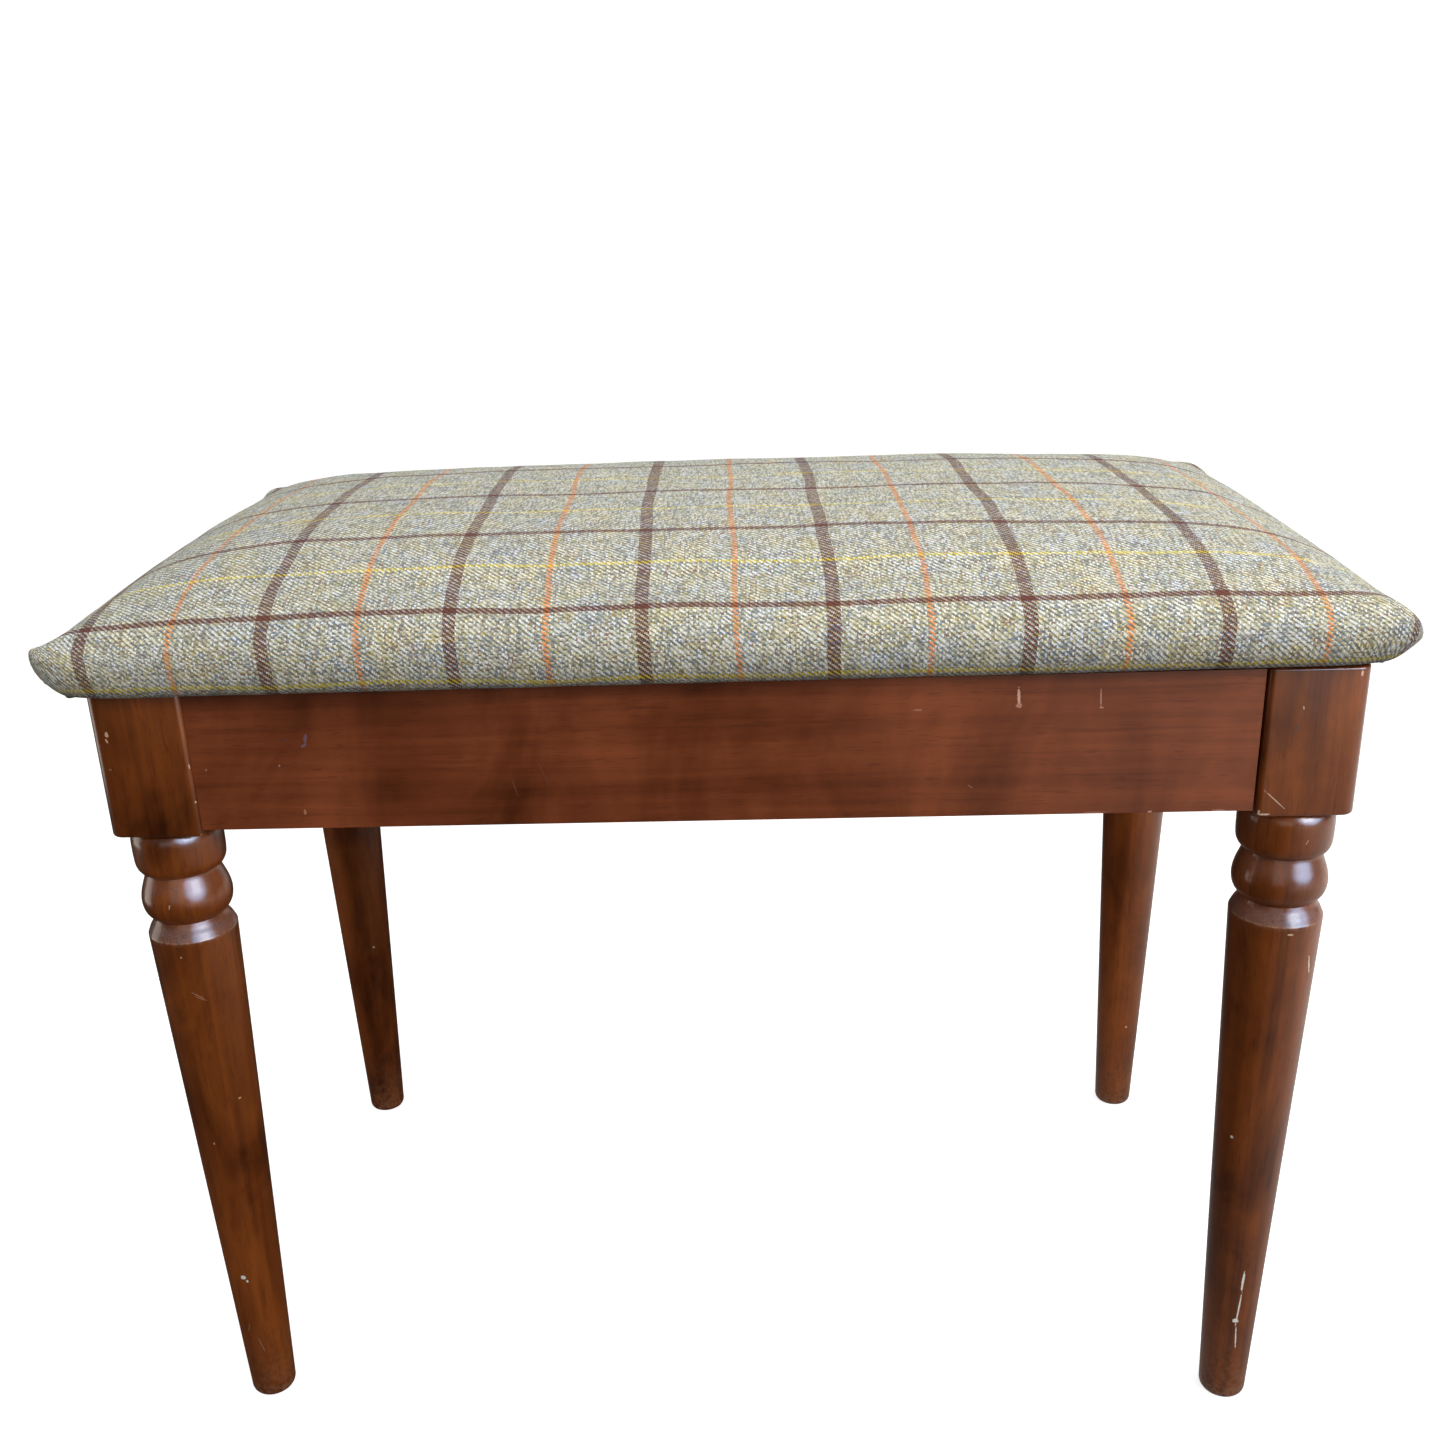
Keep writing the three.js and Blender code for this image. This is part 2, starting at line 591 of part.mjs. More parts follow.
for (const { name, sx, sy, quarterTurns } of CORNERS) {
  const group = new THREE.Group();
  group.position.set(sx * INNER_X, sy * INNER_Y, 0);
  group.rotation.z = quarterTurns * Math.PI / 2;
  nodes.add(group);
  add(group, `leg_${name}`, leg, STAINED).position.set(-LEG_INSET, -LEG_INSET, 0);
  add(group, `corner_brace_${name}`, brace, ZINC);
  const along = new THREE.Group();
  along.position.z = BOLT_Z;
  along.rotation.z = DIAGONAL;
  group.add(along);
  add(along, `hanger_bolt_${name}`, bolt, ZINC);
  add(along, `brace_washer_${name}`, washer, ZINC);
  add(along, `wing_nut_${name}`, wingNut, ZINC);
  const pad = rodZ(BUMPER_RADIUS, 0, BUMPER_THICK, 16);
  add(group, `felt_bumper_${name}`, pad, FELT).position.set(-LEG_INSET, -LEG_INSET, BLOCK_TOP + 0.1);
}

const boxScrewHoles = hingeScrewSpots.map((x) => screwHole().translate(x, HINGE_SCREW_Y, BOX_SCREW_Z));
const boxPlateHoles = boxPlateScrewSpots.map((spot) => pointRight(screwHole()).translate(...spot));
add(nodes, 'front_apron', longApron(-1, JOINT_GAP, OPEN_JOINT_GAP), STAINED);
add(nodes, 'rear_apron', longApron(1, JOINT_GAP, JOINT_GAP, boxScrewHoles), STAINED);
add(nodes, 'left_apron', shortApron(-1), STAINED);
add(nodes, 'right_apron', shortApron(1, boxPlateHoles), STAINED);
add(nodes, 'compartment_floor', compartmentFloor(), PANEL);

for (const [name, side] of [['left', -1], ['right', 1]]) {
  const hinge = new THREE.Group();
  hinge.position.set(side * HINGE_X, HINGE_Y, HINGE_Z);
  nodes.add(hinge);
  add(hinge, `hinge_box_leaf_${name}`, boxLeaf(), BRASS);
  add(hinge, `hinge_lid_leaf_${name}`, lidLeaf(), BRASS);
  add(hinge, `hinge_pin_${name}`, rodX(PIN_RADIUS, -HINGE_LENGTH / 2, HINGE_LENGTH / 2, BARREL_ROUND), BRASS);
}
hingeScrewSpots.forEach((x, i) => {
  add(nodes, `hinge_box_screw_${i + 1}`, screw(), BRASS).position.set(x, HINGE_SCREW_Y, BOX_SCREW_Z);
  add(nodes, `hinge_lid_screw_${i + 1}`, pointUp(screw()), BRASS).position.set(x, HINGE_SCREW_Y, LID_SCREW_Z);
});

add(nodes, 'stay_box_plate', boxPlateGeometry(), ZINC);
add(nodes, 'stay_lower_arm', armGeometry(STAY_PIVOT, STAY_ELBOW, LOWER_ARM_X), ZINC);
add(nodes, 'stay_upper_arm', armGeometry(STAY_LID_PIVOT, STAY_ELBOW, UPPER_ARM_X), ZINC);
add(nodes, 'stay_lid_plate', lidPlateGeometry(), ZINC);
add(nodes, 'stay_box_rivet',
  rivetGeometry(BOX_PLATE_X[0], LOWER_ARM_X[1] - RIVET_PLAY, false, true), ZINC)
  .position.set(0, STAY_PIVOT.y, STAY_PIVOT.z);
add(nodes, 'stay_lid_rivet',
  rivetGeometry(UPPER_ARM_X[0] + RIVET_PLAY, LID_PLATE_X[1] - RIVET_PLAY, true, true), ZINC)
  .position.set(0, STAY_LID_PIVOT.y, STAY_LID_PIVOT.z);
add(nodes, 'stay_elbow_rivet_lower',
  rivetGeometry(LOWER_ARM_X[0] + RIVET_PLAY, LOWER_ARM_X[1], true, false), ZINC)
  .position.set(0, STAY_ELBOW.y, STAY_ELBOW.z);
add(nodes, 'stay_elbow_rivet_upper',
  rivetGeometry(UPPER_ARM_X[0], UPPER_ARM_X[1] - RIVET_PLAY, false, true), ZINC)
  .position.set(0, STAY_ELBOW.y, STAY_ELBOW.z);
boxPlateScrewSpots.forEach((spot, i) => {
  add(nodes, `stay_box_screw_${i + 1}`, pointRight(screw()), ZINC).position.set(...spot);
});
lidPlateScrewSpots.forEach((spot, i) => {
  add(nodes, `stay_lid_screw_${i + 1}`, pointUp(screw()), ZINC).position.set(...spot);
});

add(nodes, 'lid_board', boardGeometry(), PLY);
add(nodes, 'foam_pad', foamGeometry(), FOAM);
add(nodes, 'tweed_cover', coverGeometry(), TWEED);
add(nodes, 'dust_cover', dustCoverGeometry(), CAMBRIC);

export default nodes;
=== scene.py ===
"""Looks for the piano bench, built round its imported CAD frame. Metres, +Z up, -Y the front."""
import math

import bmesh
import bpy
import numpy as np
from mathutils import Matrix, Vector, noise


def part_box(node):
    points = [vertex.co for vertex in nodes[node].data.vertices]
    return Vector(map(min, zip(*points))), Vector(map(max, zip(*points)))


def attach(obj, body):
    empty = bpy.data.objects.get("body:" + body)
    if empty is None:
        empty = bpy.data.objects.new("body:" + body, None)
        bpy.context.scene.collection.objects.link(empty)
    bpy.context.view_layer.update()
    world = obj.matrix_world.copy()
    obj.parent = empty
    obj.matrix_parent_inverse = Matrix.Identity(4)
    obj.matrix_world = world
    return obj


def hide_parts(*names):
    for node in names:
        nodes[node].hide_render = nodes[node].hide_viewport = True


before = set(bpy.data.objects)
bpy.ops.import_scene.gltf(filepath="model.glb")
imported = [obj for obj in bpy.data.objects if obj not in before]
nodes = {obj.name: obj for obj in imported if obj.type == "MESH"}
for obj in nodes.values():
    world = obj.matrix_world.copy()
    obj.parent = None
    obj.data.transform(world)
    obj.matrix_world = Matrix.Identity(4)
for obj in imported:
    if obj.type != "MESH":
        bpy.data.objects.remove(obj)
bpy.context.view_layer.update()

MM = 0.001
rng = np.random.default_rng(20)

# ------------------------------------------------------------------ places taken from the frame
CORNERS = {
    "rear_right": (1, 1),
    "rear_left": (-1, 1),
    "front_left": (-1, -1),
    "front_right": (1, -1),
}
leg_low, leg_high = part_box("leg_rear_right")
BLOCK = leg_high.x - leg_low.x
OFF_AXIS = 0.85 * MM          # the block stands out this much further on its two outer faces
LEG_X = (leg_high.x + leg_low.x) / 2 - OFF_AXIS
LEG_Y = (leg_high.y + leg_low.y) / 2 - OFF_AXIS
BLOCK_TOP = leg_high.z
APRON_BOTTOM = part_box("front_apron")[0].z
BLOCK_BOTTOM = APRON_BOTTOM - 2.8 * MM
INNER_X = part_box("right_apron")[0].x
INNER_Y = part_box("rear_apron")[0].y
cover_low, cover_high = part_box("tweed_cover")
LID_X = cover_high.x
LID_Y = cover_high.y
LID_UNDERSIDE = cover_low.z
LID_TOP = cover_high.z
board_low, board_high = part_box("lid_board")


# ------------------------------------------------------------------ shader graphs
class Graph:
    """A material's nodes, written as function calls. Inputs are numbers, tuples or sockets."""

    def __init__(self, name):
        self.material = bpy.data.materials.new(name)
        self.material.use_nodes = True
        self.tree = self.material.node_tree
        self.tree.nodes.clear()
        self.output = self.tree.nodes.new("ShaderNodeOutputMaterial")

    def node(self, kind, inputs=None, **settings):
        made = self.tree.nodes.new("ShaderNode" + kind)
        for key, value in settings.items():
            setattr(made, key, value)
        for key, value in (inputs or {}).items():
            self.plug(made.inputs[key], value)
        return made

    def plug(self, socket, value):
        if isinstance(value, bpy.types.NodeSocket):
            self.tree.links.new(value, socket)
        elif value is not None:
            if socket.type == "RGBA" and len(value) == 3:
                value = (*value, 1)
            socket.default_value = value

    def math(self, operation, a, b=None, c=None, clamp=False):
        made = self.node("Math", {0: a}, operation=operation, use_clamp=clamp)
        if b is not None:
            self.plug(made.inputs[1], b)
        if c is not None:
            self.plug(made.inputs[2], c)
        return made.outputs[0]

    def vector(self, operation, a, b=None):
        made = self.node("VectorMath", {0: a}, operation=operation)
        if b is not None:
            self.plug(made.inputs[1], b)
        return made.outputs["Value" if operation in ("LENGTH", "DISTANCE", "DOT_PRODUCT") else 0]

    def combine(self, x, y, z):
        return self.node("CombineXYZ", {0: x, 1: y, 2: z}).outputs[0]

    def split(self, vector):
        return self.node("SeparateXYZ", {0: vector}).outputs

    def noise(self, vector, scale, detail=2.0, roughness=0.5, distortion=0.0):
        made = self.node("TexNoise", {"Vector": vector, "Scale": scale, "Detail": detail,
                                      "Roughness": roughness, "Distortion": distortion})
        return made.outputs["Fac"]

    def white(self, vector):
        return self.node("TexWhiteNoise", {"Vector": vector}, noise_dimensions="3D").outputs["Value"]

    def mix(self, share, a, b, blend="MIX"):
        made = self.node("Mix", data_type="RGBA", blend_type=blend)
        self.plug(made.inputs["Factor"], share)
        self.plug(made.inputs[6], a)
        self.plug(made.inputs[7], b)
        return made.outputs[2]

    def tint(self, color, mask, other, share):
        """Mixes in another colour where the mask is, by at most this share."""
        return self.mix(self.math("MULTIPLY", mask, share), color, other)

    def shade(self, color, amount):
        """Multiplies a colour by a grey amount."""
        return self.mix(1.0, color, self.combine(amount, amount, amount), "MULTIPLY")

    def ramp(self, value, stops, interpolation="LINEAR"):
        made = self.node("ValToRGB", {0: value})
        band = made.color_ramp
        band.interpolation = interpolation
        while len(band.elements) < len(stops):
            band.elements.new(1.0)
        for element, (position, color) in zip(band.elements, stops):
            element.position = position
            element.color = (*color, 1)
        return made.outputs[0]

    def range(self, value, low, high, to_low=0.0, to_high=1.0):
        return self.node("MapRange", {0: value, 1: low, 2: high, 3: to_low, 4: to_high}).outputs[0]

    def object_coordinates(self):
        return self.node("TexCoord").outputs["Object"]

    def attribute(self, name):
        return self.node("Attribute", attribute_name=name, attribute_type="GEOMETRY").outputs

    def bump(self, height, strength, distance, normal=None):
        made = self.node("Bump", {"Height": height, "Strength": strength, "Distance": distance})
        if normal is not None:
            self.plug(made.inputs["Normal"], normal)
        return made.outputs[0]

    def surface(self, **inputs):
        keys = {
            "color": "Base Color", "roughness": "Roughness", "metallic": "Metallic",
            "normal": "Normal", "specular": "Specular IOR Level", "coat": "Coat Weight",
            "coat_roughness": "Coat Roughness", "sheen": "Sheen Weight",
            "sheen_roughness": "Sheen Roughness", "sheen_tint": "Sheen Tint",
        }
        made = self.node("BsdfPrincipled", {keys[k]: v for k, v in inputs.items()})
        self.tree.links.new(made.outputs[0], self.output.inputs["Surface"])
        return self.material


# ------------------------------------------------------------------ wood
MARK_PALE = (0.62, 0.42, 0.27)
PAINT_WHITE = (0.8, 0.8, 0.76)


def rubbed_edges(g, here):
    """1 along the edges of a leg's square block, from the distances to its faces."""
    x, y, z = g.split(here)

    def close(value, face, reach):
        distance = g.math("ABSOLUTE", g.math("SUBTRACT", value, face))
        return g.range(distance, 0.3 * MM, reach, 1.0, 0.0)

    def either(value, outer):
        side = g.math("ABSOLUTE", value)
        return g.math("MAXIMUM", close(side, outer, 1.3 * MM), close(side, outer - BLOCK, 1.3 * MM))

    near = g.math("ADD", either(x, leg_high.x), either(y, leg_high.y))
    near = g.math("ADD", near, close(z, BLOCK_BOTTOM, 1.1 * MM))
    above = g.math("GREATER_THAN", z, BLOCK_BOTTOM - 0.3 * MM)
    return g.math("MULTIPLY", g.range(near, 1.25, 1.8, 0.0, 0.8), above)


def stained_wood(name, grain, dark, light, seed=0.0, marks=(), raw_side=None, gloss=0.34,
                 block_edges=False):
    """Stained, lacquered hardwood. grain is the axis that it runs along; marks are chips and
    scratches as (centre in mm, half sizes in mm, turn in degrees about Y, colour)."""
    g = Graph(name)
    here = g.object_coordinates()
    place = g.vector("ADD", here, (seed * 1.7, seed * 0.9, seed * 1.3))
    along = {"X": (0.035, 1, 1), "Y": (1, 0.035, 1), "Z": (1, 1, 0.035)}[grain]
    stretched = g.vector("MULTIPLY", place, along)
    wander = g.noise(stretched, 26, 3, 0.55)
    fibres = g.noise(stretched, 420, 4, 0.65, 0.4)
    bands = g.noise(stretched, 95, 2, 0.5, 1.2)
    pores = g.noise(g.vector("MULTIPLY", place, tuple(max(0.06, a) for a in along)), 1300, 1, 0.5)
    blotch = g.noise(g.vector("MULTIPLY", place, (1, 1, 0.6)), 17, 4, 0.6, 0.5)
    tone = g.math("MULTIPLY_ADD", wander, 0.35, g.math("MULTIPLY", blotch, 0.75))
    tone = g.math("MULTIPLY_ADD", bands, 0.3, g.math("SUBTRACT", tone, 0.2))
    tone = g.range(tone, 0.32, 0.72)
    color = g.mix(tone, dark, light)
    streak = g.range(fibres, 0.56, 0.74)
    color = g.tint(color, streak, tuple(0.45 * c for c in dark), 0.45)
    speck = g.math("MULTIPLY", g.math("GREATER_THAN", pores, 0.66), 0.3)
    color = g.mix(speck, color, tuple(0.35 * c for c in dark))
    roughness = g.range(blotch, 0.2, 0.8, gloss - 0.06, gloss + 0.1)
    smears = g.noise(g.vector("MULTIPLY", place, (1, 1, 0.5)), 260, 3, 0.7)
    roughness = g.math("MULTIPLY_ADD", g.range(smears, 0.55, 0.7), 0.12, roughness)
    height = g.math("MULTIPLY_ADD", fibres, 0.3, g.math("MULTIPLY", blotch, 0.8))
    wear_and_painted_highlight = g.attribute("wear_and_painted_highlight")["Fac"]
    if block_edges:
        wear_and_painted_highlight = g.math("MAXIMUM", wear_and_painted_highlight, rubbed_edges(g, here))
    # Pale rubbed wood; the thin line under the shoulder is partly a painted highlight on its sharp
    # edge.
    rubbed_and_painted_highlight = g.math("MULTIPLY", wear_and_painted_highlight, g.range(g.noise(place, 330, 3, 0.65), 0.4, 0.58))
    color = g.tint(color, rubbed_and_painted_highlight, (0.36, 0.2, 0.13), 0.75)
    dust_and_painted_sheen = g.attribute("dust_and_painted_sheen")["Fac"]
    # Grey in the cove, neck and on the bead: partly dust, partly a painted reflection of the sky.
    grey = g.math("MULTIPLY", dust_and_painted_sheen, g.range(g.noise(place, 1500, 2, 0.75), 0.42, 0.62, 0.2, 1.0))
    color = g.tint(color, grey, (0.2, 0.19, 0.2), 0.42)
    roughness = g.math("MULTIPLY_ADD", dust_and_painted_sheen, 0.25, roughness)
    if not marks:
        chips = g.range(g.noise(g.vector("ADD", place, (3, 1, 2)), 150, 1, 0.5), 0.8, 0.81)
        color = g.tint(color, chips, MARK_PALE, 0.85)
        height = g.math("MULTIPLY_ADD", chips, -0.6, height)
    for centre, half, turn, paint in marks:
        color, height = add_mark(g, color, height, centre, half, turn, paint)
    if raw_side is not None:
        axis, limit = raw_side
        depth = g.math("MULTIPLY", g.split(here)[axis], math.copysign(1, limit))
        inside = g.math("LESS_THAN", depth, abs(limit) + 0.4 * MM)
        bare = g.mix(tone, (0.22, 0.115, 0.055), (0.36, 0.21, 0.11))
        bare = g.tint(bare, streak, (0.14, 0.07, 0.035), 0.4)
        color = g.mix(inside, color, bare)
        roughness = g.math("MULTIPLY_ADD", inside, 0.35, roughness)
    normal = g.bump(height, 0.2, 0.3 * MM)
    return g.surface(color=color, roughness=roughness, normal=normal, specular=0.22,
                     coat=0.55, coat_roughness=0.17)


def add_mark(g, color, height, centre, half, turn, paint):
    """A ragged chip or scratch: an ellipsoid of another colour, broken up by noise."""
    offset = g.vector("SUBTRACT", g.object_coordinates(), tuple(c * MM for c in centre))
    if turn:
        offset = g.node("VectorRotate", {"Vector": offset, "Angle": math.radians(turn)},
                        rotation_type="Y_AXIS").outputs[0]
    scaled = g.vector("DIVIDE", offset, tuple(h * MM for h in half))
    ragged = g.math("MULTIPLY_ADD", g.noise(g.object_coordinates(), 900, 2), 1.1,
                    g.math("SUBTRACT", g.vector("LENGTH", scaled), 0.55))
    inside = g.math("LESS_THAN", ragged, 0.9)
    return g.mix(inside, color, paint), g.math("MULTIPLY_ADD", inside, -0.8, height)


# ------------------------------------------------------------------ tweed
YARN = 0.78                  # mm between yarns
CHECK_X = 87.14               # mm between brown stripes, left to right
CHECK_Y = 85.0                # and front to back
ORANGE_X = 11.5               # an orange stripe's place, from the middle of the cloth
BROWN_Y = -9.5                # a brown stripe's place, front to back
SKEW = 0.03                   # the cloth lies a little crooked on the lid
EASED_AT = (-260, -212.3, -172.6, -152, 400)     # and is eased towards the front edge: cloth
EASED_TO = (-269.7, -222, -179.5, -152, 400)     # at the first of each lies where the second would
BOWED = 5.0                   # the stripes bow back this much, in mm, at the right end
WARP_PALETTE = [
    (0.0, (0.679, 0.65, 0.526)), (0.24, (0.388, 0.379, 0.302)), (0.42, (0.834, 0.808, 0.739)),
    (0.6, (0.32, 0.35, 0.392)), (0.7, (0.621, 0.552, 0.269)), (0.78, (0.921, 0.916, 0.941)),
    (0.95, (0.407, 0.256, 0.202)),
]
WEFT_PALETTE = [
    (0.0, (0.563, 0.542, 0.448)), (0.25, (0.272, 0.271, 0.235)), (0.45, (0.718, 0.699, 0.627)),
    (0.62, (0.291, 0.335, 0.426)), (0.74, (0.543, 0.483, 0.224)), (0.84, (0.854, 0.847, 0.851)),
    (0.95, (0.33, 0.217, 0.179)),
]
BROWN_YARN = (0.16, 0.04, 0.026)
ORANGE_YARN = (0.95, 0.34, 0.1)
YELLOW_YARN = (1.0, 0.82, 0.06)
COOL_PATCH = (0.96, 1.02, 1.1)      # the wool's dye drifts between bluish and yellowish
WARM_PATCH = (1.1, 1.08, 0.94)


def tweed(name):
    """A 2/2 twill woven from flecked yarns, with an overcheck. It follows the cloth's own
    coordinates, kept on the mesh in millimetres."""
    g = Graph(name)
    cloth = g.attribute("weave")["Vector"]
    across, along, _ = g.split(cloth)
    drift = g.noise(cloth, 0.011, 1, 0.5)
    across = g.math("MULTIPLY_ADD", drift, 6.0, g.math("SUBTRACT", across, 3.0))
    drift = g.noise(g.vector("ADD", cloth, (90, 40, 7)), 0.011, 1, 0.5)
    along = g.math("MULTIPLY_ADD", drift, 8.0, g.math("SUBTRACT", along, 4.0))
    warp = g.math("FLOOR", g.math("DIVIDE", across, YARN))
    weft = g.math("FLOOR", g.math("DIVIDE", along, YARN))
    diagonal = g.math("FLOORED_MODULO", g.math("ADD", warp, weft), 4)
    warp_up = g.math("LESS_THAN", diagonal, 1.5)

    def fleck(yarn, distance, length, palette, salt):
        start = g.white(g.combine(yarn, salt, 0))
        piece = g.math("FLOOR", g.math("ADD", g.math("DIVIDE", distance, length), start))
        return g.ramp(g.white(g.combine(yarn, piece, salt)), palette, "CONSTANT")

    warp_color = fleck(warp, along, 4.2, WARP_PALETTE, 3.0)
    weft_color = fleck(weft, across, 4.6, WEFT_PALETTE, 7.0)

    def stripe(distance, place, pitch, width):
        shifted = g.math("ADD", distance, pitch / 2 - place)
        from_middle = g.math("SUBTRACT", g.math("FLOORED_MODULO", shifted, pitch), pitch / 2)
        return g.math("LESS_THAN", g.math("ABSOLUTE", from_middle), width / 2)

    brown_x = stripe(across, ORANGE_X + CHECK_X / 2, CHECK_X, 6.2)
    brown_y = stripe(along, BROWN_Y, CHECK_Y, 4.5)
    orange_x = stripe(across, ORANGE_X, CHECK_X, 2.7)
    yellow_y = stripe(along, BROWN_Y + CHECK_Y / 2, CHECK_Y, 2.6)
    warp_color = g.tint(warp_color, brown_x, BROWN_YARN, 0.95)
    warp_color = g.tint(warp_color, orange_x, ORANGE_YARN, 0.95)
    warp_color = g.tint(warp_color, brown_y, BROWN_YARN, 0.55)
    weft_color = g.tint(weft_color, brown_y, BROWN_YARN, 0.97)
    weft_color = g.tint(weft_color, brown_x, BROWN_YARN, 0.04)
    weft_color = g.tint(weft_color, yellow_y, YELLOW_YARN, 0.95)
    color = g.mix(warp_up, weft_color, warp_color)

    def bulge(distance):
        return g.math("ABSOLUTE", g.math("SINE", g.math("MULTIPLY", distance, math.pi / YARN)))

    yarn_height = g.mix(warp_up, bulge(along), bulge(across))
    ridge = g.math("ABSOLUTE", g.math("SINE", g.math(
        "MULTIPLY", g.math("ADD", across, along), math.pi / (4 * YARN))))
    height = g.math("MULTIPLY_ADD", ridge, 0.7, g.math("MULTIPLY", yarn_height, 0.5))
    shade = g.range(ridge, 0.0, 0.85, 0.42, 1.06)
    color = g.shade(color, shade)
    haze = g.range(g.noise(cloth, 0.045, 3, 0.6), 0.36, 0.64)
    color = g.mix(1.0, color, g.mix(haze, COOL_PATCH, WARM_PATCH), "MULTIPLY")
    # Painted shade: the cloth is darkened towards the underside, where it rolls under into shadow.
    grime_and_painted_shade = g.range(g.attribute("painted_underside_shade")["Fac"], 0.0, 1.0, 1.0, 0.34)
    color = g.shade(color, grime_and_painted_shade)
    hairs = g.noise(cloth, 2.2, 3, 0.7)
    fuzz = g.range(hairs, 0.3, 0.7, 0.8, 1.12)
    color = g.shade(color, fuzz)
    height = g.math("MULTIPLY_ADD", hairs, 0.9, height)
    normal = g.bump(height, 0.8, 0.4 * MM)
    return g.surface(color=color, roughness=0.95, normal=normal, specular=0.12,
                     sheen=0.1, sheen_roughness=0.5)


# ------------------------------------------------------------------ plain materials with wear
def metal(name, color, roughness, stain, scale=1.0):
    g = Graph(name)
    place = g.object_coordinates()
    cloud = g.noise(place, 160 * scale, 4, 0.6)
    brushed = g.noise(g.vector("MULTIPLY", place, (1, 1, 0.08)), 2400 * scale, 2, 0.5)
    spots = g.range(g.noise(place, 520 * scale, 3, 0.7), 0.6, 0.72)
    tone = g.mix(g.range(cloud, 0.3, 0.7), color, tuple(0.72 * c for c in color))
    tone = g.tint(tone, spots, stain, 0.6)
    rough = g.range(cloud, 0.3, 0.7, roughness - 0.08, roughness + 0.14)
    rough = g.math("MULTIPLY_ADD", spots, 0.25, rough)
    normal = g.bump(g.math("MULTIPLY_ADD", spots, 0.5, brushed), 0.1, 0.1 * MM)
    return g.surface(color=tone, roughness=rough, metallic=0.95, normal=normal)


def plain_ply(name):
    """Bare plywood, its grain along X, with some grime."""
    g = Graph(name)
    place = g.object_coordinates()
    stretched = g.vector("MULTIPLY", place, (0.05, 1, 1))
    figure = g.noise(stretched, 45, 4, 0.6, 1.5)
    fibres = g.noise(stretched, 520, 3, 0.6)
    color = g.ramp(figure, [(0.25, (0.3, 0.17, 0.085)), (0.5, (0.46, 0.3, 0.17)),
                            (0.75, (0.55, 0.38, 0.23))])
    color = g.tint(color, g.range(fibres, 0.5, 0.75), (0.24, 0.13, 0.06), 0.4)
    grime_and_painted_shade = g.range(g.noise(place, 9, 4, 0.6), 0.45, 0.7)
    color = g.tint(color, grime_and_painted_shade, (0.16, 0.11, 0.075), 0.3)
    normal = g.bump(fibres, 0.2, 0.3 * MM)
    return g.surface(color=color, roughness=0.72, normal=normal, specular=0.25)


def woven_plain(name, color, pitch, lighter):
    """A thin plain-weave cloth. pitch is the width of one thread's wave, in millimetres."""
    g = Graph(name)
    place = g.object_coordinates()
    x, y, _ = g.split(place)
    wave = 2 * math.pi / (pitch * MM)
    threads = g.math("MULTIPLY", g.math("SINE", g.math("MULTIPLY", x, wave)),
                     g.math("SINE", g.math("MULTIPLY", y, wave)))
    cloud = g.noise(place, 30, 4, 0.6)
    tone = g.mix(g.range(cloud, 0.35, 0.7), color, lighter)
    lint = g.range(g.noise(place, 700, 2, 0.6), 0.68, 0.74)
    tone = g.tint(tone, lint, (0.3, 0.29, 0.27), 0.4)
    normal = g.bump(g.math("MULTIPLY_ADD", cloud, 2.0, threads), 0.5, 0.15 * MM)
    return g.surface(color=tone, roughness=0.95, normal=normal, specular=0.15, sheen=0.3)


def felt_cloth(name, color):
    g = Graph(name)
    place = g.object_coordinates()
    fluff = g.noise(place, 1800, 4, 0.75)
    tone = g.mix(g.range(fluff, 0.3, 0.7), color, tuple(min(1, 1.9 * c) for c in color))
    return g.surface(color=tone, roughness=1.0, normal=g.bump(fluff, 0.8, 0.4 * MM), sheen=0.4)


def open_foam(name):
    g = Graph(name)
    place = g.object_coordinates()
    cells = g.node("TexVoronoi", {"Vector": place, "Scale": 900}).outputs["Distance"]
    age = g.noise(place, 14, 3, 0.6)
    tone = g.mix(g.range(age, 0.3, 0.7), (0.72, 0.6, 0.33), (0.56, 0.42, 0.2))
    return g.surface(color=tone, roughness=1.0, normal=g.bump(cells, 0.6, 0.5 * MM))


# ------------------------------------------------------------------ meshes
def add_object(name, data):
    made = bpy.data.objects.new(name, data)
    bpy.context.scene.collection.objects.link(made)
    return made


def make_object(name, vertices, faces, material, smooth=True):
    mesh = bpy.data.meshes.new(name)
    mesh.from_pydata([tuple(v) for v in vertices], [], [tuple(f) for f in faces])
    mesh.validate()
    made = add_object(name, mesh)
    if material is not None:
        made.data.materials.append(material)
    if smooth:
        shade_by_angle(made)
    return made


def shade_by_angle(obj, degrees=35):
    """Smooth shading, broken at edges sharper than this."""
    mesh = obj.data
    bm = bmesh.new()
    bm.from_mesh(mesh)
    limit = math.radians(degrees)
    for face in bm.faces:
        face.smooth = True
    for edge in bm.edges:
        edge.smooth = len(edge.link_faces) != 2 or edge.calc_face_angle(0) < limit
    bm.to_mesh(mesh)
    bm.free()


def from_bmesh(name, bm, material, degrees=35):
    mesh = bpy.data.meshes.new(name)
    bmesh.ops.recalc_face_normals(bm, faces=bm.faces)
    bm.to_mesh(mesh)
    bm.free()
    made = add_object(name, mesh)
    if material is not None:
        made.data.materials.append(material)
    shade_by_angle(made, degrees)
    return made


